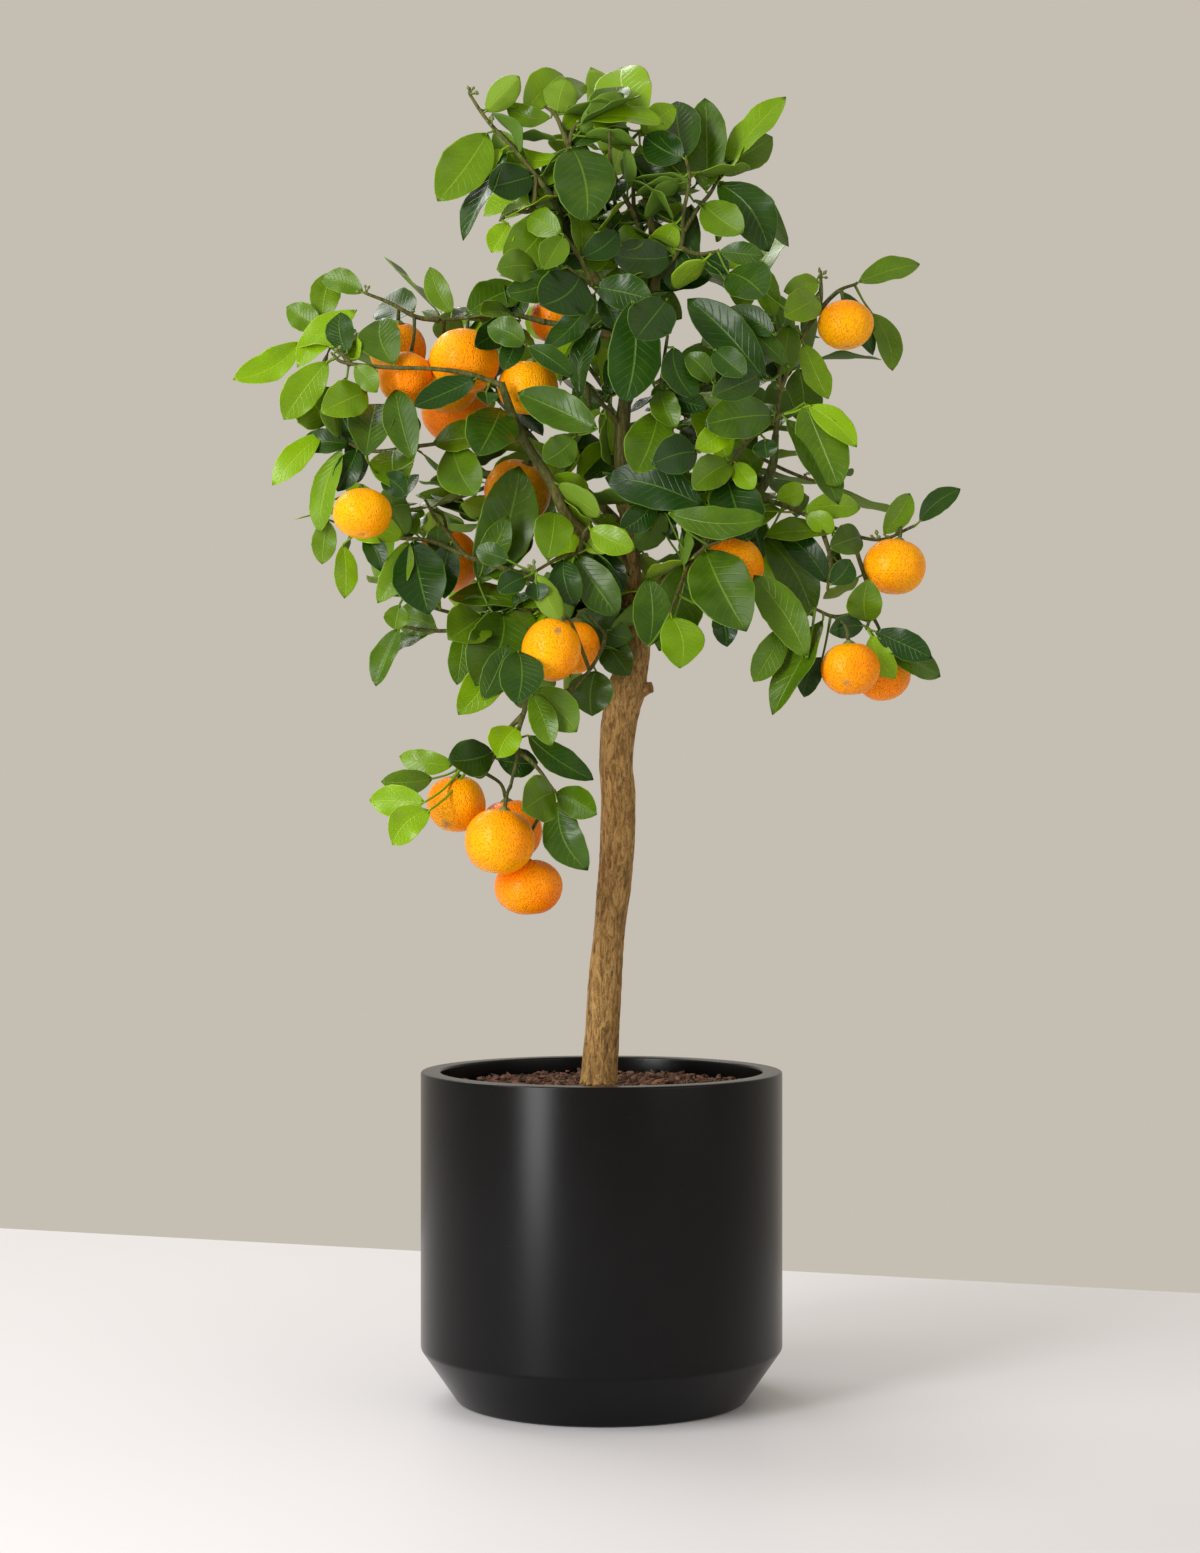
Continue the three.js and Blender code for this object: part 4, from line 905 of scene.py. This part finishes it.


# Where leaves of each tone have their tips in the sketch; each tone is partly the leaf's own
# green and partly painted shade.
TONE_AND_SHADE_SPOTS = {
    "lime": [
        (-95, 763), (-70, 729), (14, 846), (-234, 648), (-193, 656), (-209, 581), (-160, 669),
        (7, 690), (-12, 627), (63, 601), (162, 605), (148, 551), (128, 580), (-147, 380),
        (-133, 352), (-66, 403),
    ],
    "bright": [
        (-104, 762), (-26, 842), (-8, 819), (39, 810), (55, 825), (117, 827), (116, 704),
        (115, 688), (-202, 623), (-179, 627), (-179, 551), (144, 636), (97, 581), (-164, 509),
        (-142, 506), (-91, 429), (50, 467), (164, 566), (21, 540),
    ],
    "olive": [
        (-60, 718), (-37, 718), (8, 730), (-67, 718), (108, 802), (90, 741), (202, 721),
        (-171, 716), (-193, 641), (-143, 640), (-109, 719), (-128, 577), (-30, 563), (58, 578),
        (119, 682), (185, 654), (-178, 531), (-132, 489), (-98, 482), (-16, 424), (96, 456),
        (170, 520), (-140, 392), (-51, 373),
    ],
    "middling": [
        (151, 580), (-53, 592), (-60, 561), (66, 826), (118, 733), (101, 720), (-140, 686),
        (-80, 574), (22, 588), (47, 617), (-143, 453), (-132, 497), (-97, 508), (-92, 454),
        (-6, 434), (145, 541), (109, 435), (215, 459), (-28, 417),
    ],
    "deep": [
        (-79, 599), (-37, 596), (66, 619), (150, 569), (-81, 453), (20, 483), (10, 498), (37, 476),
        (92, 488), (134, 498), (-4, 371), (-10, 337), (-103, 537),
    ],
    "dark": [
        (-87, 737), (-72, 770), (-9.5, 749), (-27, 720), (6, 747), (-61, 703), (48, 824), (28, 803),
        (48, 769), (106, 730), (103, 727), (81, 717), (6, 728), (-183, 607), (-167, 629),
        (-166, 683), (-138, 699), (-119, 631), (-168, 577), (-124, 573), (-39, 695), (-36, 667),
        (32, 699), (15, 634), (22, 674), (-18, 642), (59, 636), (-81, 669), (-19, 649), (-73, 632),
        (-62, 705), (96, 656), (83, 690), (89, 650), (68, 630), (105, 600), (93, 545), (172, 664),
        (-140, 526), (18, 460), (12, 513), (-41, 507), (-54, 441), (129, 446), (79, 482),
        (228, 578), (158, 533), (145, 487), (210, 471), (-98, 405), (-37, 404), (-6, 393),
    ],
    "darkest": [
        (9, 761), (32, 594), (55, 570), (-110, 499), (-100, 509),
    ],
    "underside": [
        (-53, 841), (-22, 839), (-122, 521), (-25, 494),
    ],
}

# For each kind: its tone from dark to lime, partly the leaf's own green and partly painted
# shade, how dull its top is, and which side faces the eye (1 the top, -1 the underside, 0
# whichever its place gives).
KINDS = {
    "lime": (0.95, 0.0, 0),
    "bright": (0.64, 0.0, 1),
    "olive": (0.43, 0.12, 1),
    "middling": (0.33, 0.0, 1),
    "deep": (0.24, 0.0, 1),
    "dark": (0.1, 0.0, 1),
    "darkest": (0.0, 0.0, 1),
    "underside": (0.55, 0.0, -1),
}
TONE_REACH = 8  # how far a leaf's tip may lie from the listed one, in the sketch
SHOWN_DEPTH = 60  # leaves farther back than this are never meant
CROWN_MIDDLE = (0, 610)
CROWN_REACH = (215, 240, 200)


def tone_with_painted_shade(tip):
    """Painted light and shade: leaves out at the crown's edge are painted brighter than those within."""
    x, z, depth = sketched(tip)
    out = math.hypot((x - CROWN_MIDDLE[0]) / CROWN_REACH[0], (z - CROWN_MIDDLE[1]) / CROWN_REACH[1])
    out = math.hypot(out, depth / CROWN_REACH[2])
    return float(np.clip(0.55 * out**2 - 0.06 + chance.normal(0, 0.16), 0, 1))


def tone_leaves(leaves):
    """Give every leaf its tone, partly painted shade, how dull its top is, and the right side up."""
    for leaf in leaves:
        leaf["tone"], leaf["dull"], leaf["facing"] = tone_with_painted_shade(leaf["tip"]), 0.0, 0
    tips = np.array([sketched(leaf["tip"]) for leaf in leaves])
    matches = []
    for kind, places in TONE_AND_SHADE_SPOTS.items():
        for spot in places:
            gaps = np.hypot(*(tips[:, :2] - spot).T) + np.where(tips[:, 2] > SHOWN_DEPTH, 100, 0)
            matches.extend((gaps[i], int(i), spot, kind) for i in np.argsort(gaps)[:3])
    done = set()
    for gap, i, spot, kind in sorted(matches):
        if gap < TONE_REACH and i not in done and spot not in done:
            done.update((i, spot))
            tone, dull, facing = KINDS[kind]
            leaves[i].update(tone=tone + chance.normal(0, 0.05), dull=dull, facing=facing)
    for leaf in leaves:
        to_eye = unit(np.array([0, -VIEW_DISTANCE, EYE_HEIGHT]) - leaf["tip"])
        if leaf["facing"] * leaf["up"].dot(to_eye) < 0:
            leaf["up"] = -leaf["up"]


# ---- Leaf blades ----

ROWS = 15
ACROSS = np.array([-1, -0.945, -0.64, -0.3, 0, 0.3, 0.64, 0.945, 1])
THICKNESS = 0.42
TOOTH = 0.028  # how far the margin's teeth stand out, in shares of the half width
THINNEST = 0.022  # the half width at foot and tip, in shares of the fullest
MARGIN_WAVE = 0.065
MIDRIB_SINK = 0.012
PETIOLE_RADII = (0.95, 0.72, 0.7, 0.4)
PETIOLE_STEP = 2.5
PETIOLE_SIDES = 6
INTO_MIDRIB = 2.2


def blade_grid():
    """Faces of a thin blade: its top grid, then its underside, which shares the rim."""
    columns = len(ACROSS)
    top = np.arange(ROWS * columns).reshape(ROWS, columns)
    below = top.copy()
    inner = (ROWS - 2) * (columns - 2)
    below[1:-1, 1:-1] = ROWS * columns + np.arange(inner).reshape(ROWS - 2, columns - 2)
    faces = []
    for i in range(ROWS - 1):
        for j in range(columns - 1):
            faces.append((top[i, j], top[i, j + 1], top[i + 1, j + 1], top[i + 1, j]))
            faces.append((below[i, j], below[i + 1, j], below[i + 1, j + 1], below[i, j + 1]))
    return faces


BLADE_FACES = blade_grid()


def add_blade(skin, foot, tip, width, up, tone, dull=0.0):
    """One leaf: elliptic, folded a little along its midrib, bowed, wavy at its toothed margin."""
    along = unit(tip - foot)
    length = np.linalg.norm(tip - foot)
    up = unit(up - along * up.dot(along))
    side = np.cross(up, along)
    # The outline: the half width from foot to tip, fullest near the middle.
    t = np.linspace(0, 1, ROWS)[:, None] ** 0.94
    u = ACROSS[None, :]
    fullest = chance.uniform(0.5, 0.57)
    swell = np.where(t < fullest, t / fullest, (1 - t) / (1 - fullest))
    outline = np.clip(1 - (1 - swell) ** 2.15, 0, 1) ** chance.uniform(0.76, 0.88)
    teeth = 1 + TOOTH * np.sin(t * math.pi * chance.uniform(17, 23) + u * 1.3) * swell
    half = width / 2 * np.maximum(outline * teeth, THINNEST)
    # The relief: a fold along the midrib, waves at the margin, a bow and a sunken midrib.
    fold = chance.gamma(2.2, 0.07) + 0.03
    phase = chance.uniform(0, 2 * math.pi, 2)
    turns = chance.uniform(1.1, 2.3)
    swing = chance.normal(0, 0.055)
    waves = np.sin(turns * 2 * math.pi * t + np.where(u < 0, *phase))
    lift = half * fold * (np.sqrt(u**2 + 0.012) - 0.11)
    lift = lift + width * MARGIN_WAVE * np.abs(u) ** 1.7 * waves * swell
    lift = lift + length * chance.normal(0.045, 0.045) * 4 * t * (1 - t)
    lift = lift - width * MIDRIB_SINK * np.exp(-(u / 0.09) ** 2) * swell
    twist = chance.normal(0, 0.1) * (t - 0.5)
    sway = length * swing * 4 * t * (1 - t)
    grid = (foot + along * (length * t)[:, :, None] + side * (half * u + sway)[:, :, None]
            + up * (lift + half * u * twist)[:, :, None])
    top = grid.reshape(-1, 3)
    inner = grid[1:-1, 1:-1].reshape(-1, 3) - up * THICKNESS
    under = np.concatenate([np.full(len(top), dull), np.ones(len(inner))])
    across, reach = (np.broadcast_to(share, (ROWS, len(ACROSS))) for share in (u, t))
    across, reach = (np.append(whole, whole[1:-1, 1:-1]) for whole in (across, reach))
    skin.add(np.vstack([top, inner]), BLADE_FACES, tone=tone, under=under, across=across, along=reach)


def add_petiole(skin, stem, foot, ahead, tone):
    """A short green stalk from the stem that runs into the midrib."""
    span = np.linalg.norm(foot - stem)
    middle = (stem + foot) / 2 - np.array([0, 0, 0.06 * span])
    route = [stem, middle, foot, foot + ahead * INTO_MIDRIB]
    line, widths = smooth_line(route, PETIOLE_RADII, PETIOLE_STEP)
    skin.tube(line, widths, PETIOLE_SIDES, tone=tone, under=0.35, across=0.4, along=0.06)


def leaves_piece(name, leaves):
    """One piece of leaves, each a blade on its petiole."""
    skin = Skin("tone", "under", "across", "along")
    for leaf in leaves:
        foot, tip, tone = leaf["foot"], leaf["tip"], leaf["tone"]
        add_blade(skin, foot, tip, leaf["width"], leaf["up"], tone, leaf.get("dull", 0.0))
        add_petiole(skin, leaf["stem"], foot, unit(tip - foot), max(tone, 0.45))
    skin.piece(name, LEAF, "leaf")


# ---- Fruits ----

FRUITS = range(1, 22)
FRUIT_SIDES = 48
FRUIT_RINGS = 34
STALK_RADII = (1.25, 1.05, 1.3)
CALYX_REACH = 4.2
CALYX_SIDES = 20

# How ripe each fruit is, from yellow-orange to red-orange, and marks on the rind:
# [fruit, x, z, size] in the sketch.
RIPENESS = dict(zip(FRUITS, (
    0.35, 0.55, 0.75, 0.3, 0.5, 0.65, 0.3, 0.35, 0.7, 0.75,
    0.35, 0.6, 0.35, 0.5, 0.4, 0.45, 0.7, 0.5, 0.4, 0.75, 0.6)))
SCARS = [(16, 156, 455, 2.2), (18, -99, 365, 2.6), (11, -28, 488, 2.4)]

# Dips in the rind at the stalk and at the far end: [depth, reach] in shares of the radius.
STALK_DIP = [(0.1, 0.035), (0.03, 0.15)]
END_DIP = [(0.055, 0.02), (0.025, 0.12)]
SEGMENTS = 8


def fruit_box(number):
    return node_box(f"fruit_{number:02d}")


def turn_to(direction):
    """Three axes as rows, the last along a direction."""
    first = unit(np.cross((0.2, 1, 0.1), direction))
    return np.array([first, np.cross(direction, first), direction])


def dip(gap, steps):
    return sum(depth * np.exp(-(gap / reach)) for depth, reach in steps)


def fruit(number, stalk_from):
    """A fruit, leaning towards its stalk. Gives where the stalk meets it and which way it points."""
    low, high = fruit_box(number)
    centre, half = (low + high) / 2, (high - low) / 2
    lean = unit(stalk_from - centre)
    crown = unit(np.array([0, 0, 1.0]) + 0.35 * lean + 0.12 * chance.normal(0, 1, 3))
    axes = turn_to(crown)
    turns = np.arange(1, FRUIT_RINGS) * math.pi / FRUIT_RINGS
    profile = [(0.0, 1.0), *((math.sin(a), math.cos(a)) for a in turns), (0.0, -1.0)]
    points, faces = turned(profile, FRUIT_SIDES)
    height = points[:, 2].copy()
    stalk_dip, end_dip = dip(1 - height, STALK_DIP), dip(1 + height, END_DIP)
    lumps = noise_at(points, 1.3, number * 5.1) * 0.022 + noise_at(points, 4.0, number) * 0.005
    ribs = 0.008 * np.cos(SEGMENTS * np.arctan2(points[:, 1], points[:, 0])) * (1 - height**2)
    points = points * (1 - stalk_dip - end_dip + lumps + ribs)[:, None] * 0.995
    ripeness = RIPENESS[number] + chance.normal(0, 0.06)
    rough = centre + (points @ axes) * half
    ripe = np.clip(ripeness + noise_at(points, 0.9, number * 2.3) * 0.35, 0, 1)
    crown_green = np.exp(-((1 - height) / 0.03)) * 0.8
    scar = np.exp(-((1 + height) / 0.004)) * 0.7
    for owner, x, z, size in SCARS:
        if owner == number:
            flat = np.array([sketched(p) for p in rough])
            near = np.hypot(flat[:, 0] - x, flat[:, 1] - z) / size
            scar += np.where(flat[:, 2] < sketched(centre)[2], np.exp(-near**4) * 0.8, 0)
    skin = Skin("ripe", "crown", "scar")
    skin.add(rough, faces, ripe=ripe, crown=crown_green, scar=np.clip(scar, 0, 1))
    skin.piece(f"rind_{number:02d}", RIND, "fruit", f"fruit_{number:02d}")
    return centre + (axes[2] * 0.9) * half, crown


def add_calyx(skin, seat, crown):
    """Five short points and a disc where the stalk meets the fruit."""
    angles = round_angles(CALYX_SIDES)
    star = CALYX_REACH * (0.72 + 0.3 * np.cos(2.5 * angles) ** 2)
    flat = np.column_stack([star * np.cos(angles), star * np.sin(angles), np.zeros(CALYX_SIDES)])
    levels = [(0.25, 2.6), (0.62, 1.7), (1.0, 0.35), (1.0, -0.45), (0.5, -0.8)]
    rings = np.vstack([flat * share + (0, 0, rise) for share, rise in levels])
    skin.add(seat + rings @ turn_to(crown), ring_faces(len(levels), CALYX_SIDES))


# ---- Shoots ----

def shoot_stems(name):
    """The lines of a shoot's stems and the part of them that leaves and stalks start on."""
    bearer, _, stems = SHOOTS[name]
    reached, lines = [], []
    for route, depth in stems:
        start = np.vstack(reached) if reached else wood[bearer]
        line, widths = stem_line(start, route, depth, SHOOT_RADII)
        lines.append((line, widths))
        clear = np.linalg.norm(line - line[0], axis=1) > BEARER_CLEARANCE
        reached.append(line if reached else line[clear])
    wood[name] = np.vstack(reached)
    return lines


def add_stalk(skin, caps, number, stems):
    """A fruit's stalk from the stems over to its calyx."""
    low, high = fruit_box(number)
    top = np.array([(low[0] + high[0]) / 2, (low[1] + high[1]) / 2, high[2]])
    start = stems[np.linalg.norm(stems - top - (0, 0, 6), axis=1).argmin()]
    seat, crown = fruit(number, start)
    over = seat + crown * 8 + (start - seat) * 0.18
    line, widths = smooth_line([start, over, seat + crown * 1.5], STALK_RADII, 2)
    skin.tube(line, widths, TWIG_SIDES, crevice=0.1, green=1)
    add_calyx(caps, seat, crown)


def add_bud(skin, point, direction, size):
    """A small swollen bud or leaf scar on a stem."""
    route = [point, point + direction * size, point + direction * size * 2]
    line, widths = smooth_line(route, [size * 0.8, size * 0.75, size * 0.15], 0.8)
    skin.tube(line, widths, BUD_SIDES, crevice=0.2, green=0.9)


def grow_shoot(name):
    """A shoot's bare stems, stalks and buds, and the leaves that the frame holds for it."""
    lines = shoot_stems(name)
    skin, caps = Skin("crevice", "green"), Skin()
    for i, (line, widths) in enumerate(lines):
        relief, crevice = fissures(line, widths, TWIG_SIDES, 0.1, 3.1 * i + len(name))
        collar = 0.3 * widths[0] * np.exp(-np.arange(len(line)) * LINE_STEP / 4)
        # The twigs' fissures, at six tenths of their depth, darken the bark as painted shade.
        skin.tube(line, widths + collar, TWIG_SIDES, relief, crevice=crevice.ravel() * 0.6, green=0.92)
        add_bud(skin, line[-1], unit(line[-1] - line[-3]), 1.1)
    leaves = list(framed_leaves(name, [line for line, _ in lines]))
    for leaf in leaves:
        add_bud(skin, leaf["stem"], unit(leaf["foot"] - leaf["stem"] + (0, 0, 2.5)), 0.9)
    for number in SHOOTS[name][1]:
        add_stalk(skin, caps, number, wood[name])
    skin.piece(name.replace("shoot", "twigs"), BARK, "bark", name)
    if caps.count:
        caps.piece(name.replace("shoot", "calyxes"), CALYX, "leaf")
    return leaves


# The outline of the crown in the sketch: leaves among and behind the framed ones stay inside it.
CROWN = np.array([
    (-93, 782), (-77, 818), (-45, 830), (-26, 836), (12, 838), (56, 822), (100, 818), (100, 775),
    (117, 742), (122, 712), (140, 695), (134, 640), (150, 620), (146, 578), (158, 553), (158, 508),
    (126, 482), (88, 502), (63, 484), (50, 474), (31, 478), (18, 450), (-1, 430), (-26, 398),
    (-8, 380), (-8, 345), (-38, 372), (-84, 404), (-90, 444), (-96, 482), (-134, 470), (-144, 514),
    (-173, 527), (-185, 572), (-198, 622), (-205, 655), (-173, 680), (-147, 700), (-109, 700),
    (-77, 726), (-77, 750),
])
FILLER_LEAVES = 380
FILLER_TRIES = 40
FILLER_SIZES = (27, 47)
FILLER_DEPTH = -30  # filler leaves stay behind this depth
STEM_DEPTH = -45  # shoots wholly in front of this depth bear none
FRUIT_ROOM = 7  # between a filler leaf and a fruit
SIGHT_ROOM = 6  # the same for a leaf in front of the fruit
BOX_ROOM = 3
BOX_LOW, BOX_HIGH = (np.array(corner) / MM for corner in cad_box)


def inside_crown(x, z):
    """Whether a place in the sketch lies in the crown's outline."""
    inside = False
    for (x0, z0), (x1, z1) in zip(CROWN, np.roll(CROWN, -1, 0)):
        if (z0 > z) != (z1 > z) and x < x0 + (z - z0) * (x1 - x0) / (z1 - z0):
            inside = not inside
    return inside


def has_room(spots, fruits):
    """Whether a leaf keeps to the tree's box and outline, behind its front and off the fruits."""
    if (spots[-1] < BOX_LOW + BOX_ROOM).any() or (spots[-1] > BOX_HIGH - BOX_ROOM).any():
        return False
    for spot in spots:
        if spot[1] < FILLER_DEPTH or not inside_crown(*sketched(spot)[:2]):
            return False
        for centre, radius in fruits:
            off = spot - centre
            if np.linalg.norm(off) < radius + FRUIT_ROOM:
                return False
            if off[1] < 0 and np.hypot(off[0], off[2]) < radius + SIGHT_ROOM:
                return False
    return True


def filler_leaves(count):
    """Leaves among and behind the framed ones, so that the crown closes as a living one does."""
    lines = [wood[name] for name in SHOOTS if wood[name][:, 1].max() > STEM_DEPTH]
    lines += [wood[name][len(wood[name]) // 3:] for name in LIMBS]
    fruits = [((low + high) / 2, (high - low).max() / 2) for low, high in map(fruit_box, FRUITS)]
    leaves = []
    for _ in range(count * FILLER_TRIES):
        if len(leaves) == count:
            break
        line = lines[chance.integers(len(lines))]
        stem = line[chance.integers(len(line))]
        length = chance.uniform(*FILLER_SIZES)
        heading = unit(chance.normal(0, 1, 3) * (1, 0.75, 0.8) + (0, 0.35, -0.15))
        foot = stem + heading * chance.uniform(4, 9)
        spots = [foot + heading * length * share for share in (0.3, 0.6, 0.85, 1)]
        if not has_room(spots, fruits):
            continue
        up = unit(np.array([0, 0, 1.0]) + chance.normal(0, 0.55, 3) + (0, -0.35, 0))
        tone = 0.9 if chance.random() < 0.3 else chance.uniform(0, 0.5)
        width = length * chance.uniform(0.5, 0.64)
        leaves.append({"foot": foot, "tip": spots[-1], "width": width, "up": up, "stem": stem,
                       "tone": tone})
    return leaves


# Small clusters of flower buds: the shoot they grow on and where, in the sketch.
BUDS = [
    ("shoot_centre", -16, 556), ("shoot_left_under", -29, 553), ("shoot_right_inner", 78, 632),
    ("shoot_right_high", 114, 640), ("shoot_right_high", 139, 714), ("shoot_top_left", -84, 830),
    ("shoot_top_left", -70, 810), ("shoot_top", -10, 813), ("shoot_crown_right", 76, 772),
    ("shoot_left_tip", -171, 664), ("shoot_left_mid", -142, 588), ("shoot_left_high", -150, 703),
    ("shoot_fork", -61, 533), ("shoot_right_low", 176, 546), ("shoot_hanging", -66, 398),
]
CLUSTER_SIDES = 8


def bud_clusters():
    skin = Skin()
    for name, x, z in BUDS:
        seat = wood[name][nearest_on(wood[name], x, z)]
        for _ in range(chance.integers(3, 6)):
            heading = unit(chance.normal(0, 1, 3) + (0, -0.3, 1.1))
            size = chance.uniform(0.9, 1.5)
            length = chance.uniform(2, 5)
            reaches = (0, length, length + size, length + 2.4 * size)
            route = [seat + heading * reach for reach in reaches]
            line, widths = smooth_line(route, [0.5, 0.45, size, size * 0.35], 0.7)
            skin.tube(line, widths, CLUSTER_SIDES)
    skin.piece("flower_buds", CALYX, "leaf")


def build_tree():
    """The wood, then the leaves in their tones, the buds and the leaves within the crown."""
    trunk()
    for name, facts in LIMBS.items():
        limb(name, *facts)
    grown = {name: grow_shoot(name) for name in SHOOTS}
    tone_leaves([leaf for leaves in grown.values() for leaf in leaves])
    for name, leaves in grown.items():
        leaves_piece(name.replace("shoot", "leaves"), leaves)
    bud_clusters()
    leaves_piece("leaves_within", filler_leaves(FILLER_LEAVES))


# ---- Surroundings ----

# Two points of the table's far edge, which runs away to the left. Behind it the room's own warm
# grey light stands for a wall.
TABLE_EDGE = [(-539, 749), (464, 398)]
TABLE_HALF = 2600
TABLE_FRONT = -3200
TABLE_HEIGHTS = (-0.2, -40)


def backdrop():
    """A pale table that the pot stands on."""
    table = Finish("pale_table", Specular_IOR_Level=0.3, Roughness=0.5)
    cloud = table.noise(2.2, 3)
    table.set("Base Color", table.mix(cloud, rgb(0.77, 0.765, 0.8), rgb(0.8, 0.795, 0.83)))
    (x0, y0), (x1, y1) = TABLE_EDGE
    slope = (y1 - y0) / (x1 - x0)
    corners = [(-TABLE_HALF, TABLE_FRONT), (TABLE_HALF, TABLE_FRONT)]
    corners += [(x, y0 + slope * (x - x0)) for x in (TABLE_HALF, -TABLE_HALF)]
    points = [(x, y, z) for z in TABLE_HEIGHTS for x, y in corners]
    sides = [(0, 4, 5, 1), (1, 5, 6, 2), (2, 6, 7, 3), (3, 7, 4, 0)]
    mesh = mesh_of("table", points, [(0, 1, 2, 3), (7, 6, 5, 4), *sides])
    mesh.materials.append(table.material)
    in_scene("table", mesh)


# Each lamp's place, aim and size in metres, its power in watts and its colour.
DAYLIGHT = (1, 0.99, 0.975)
LAMPS = {
    "window": ((-1.9, -1.2, 2.1), (0, 0, 0.5), (1.5, 1.9), 24, DAYLIGHT),
    "tall_strip": ((-1.38, -1.65, 0.8), (0, 0, 0.45), (0.55, 1.7), 35, (1, 0.99, 0.985)),
    "fill": ((2.2, -1.9, 1.2), (0, 0, 0.45), (2.0, 1.6), 9, DAYLIGHT),
    "back_window": ((-0.9, 1.25, 1.9), (0, 0.1, 0.6), (1.6, 0.8), 18, DAYLIGHT),
}
ROOM_LIGHT = rgb(0.56, 0.515, 0.45)
EYE_LENS = 66.95
EYE_SENSOR = 36
EYE_SHIFT = (-0.001, 0.0235)


def lamp(name, at, aim, size, power, colour):
    """A rectangular lamp that faces its aim."""
    light = bpy.data.lights.new(name, "AREA")
    light.shape = "RECTANGLE"
    light.size, light.size_y = size
    light.energy = power
    light.color = colour
    made = in_scene(name, light)
    made.location = at
    made.rotation_euler = (Vector(aim) - Vector(at)).to_track_quat("-Z", "Y").to_euler()


def room():
    """Even warm light from all round, shown in its plain colours."""
    world = bpy.data.worlds.new("soft_room")
    world.use_nodes = True
    background = world.node_tree.nodes["Background"]
    background.inputs["Color"].default_value = ROOM_LIGHT
    background.inputs["Strength"].default_value = 1.0
    bpy.context.scene.world = world
    bpy.context.scene.view_settings.view_transform = "Standard"


def eye():
    """The camera, level, where the sketch is drawn from."""
    camera = bpy.data.cameras.new("eye")
    camera.lens = EYE_LENS
    camera.sensor_width = EYE_SENSOR
    camera.shift_x, camera.shift_y = EYE_SHIFT
    made = in_scene("eye", camera)
    made.location = (0, -VIEW_DISTANCE * MM, EYE_HEIGHT * MM)
    made.rotation_euler = (math.pi / 2, 0, 0)
    bpy.context.scene.camera = made


planter()
growing_mix()
build_tree()
backdrop()
for name, facts in LAMPS.items():
    lamp(name, *facts)
room()
eye()
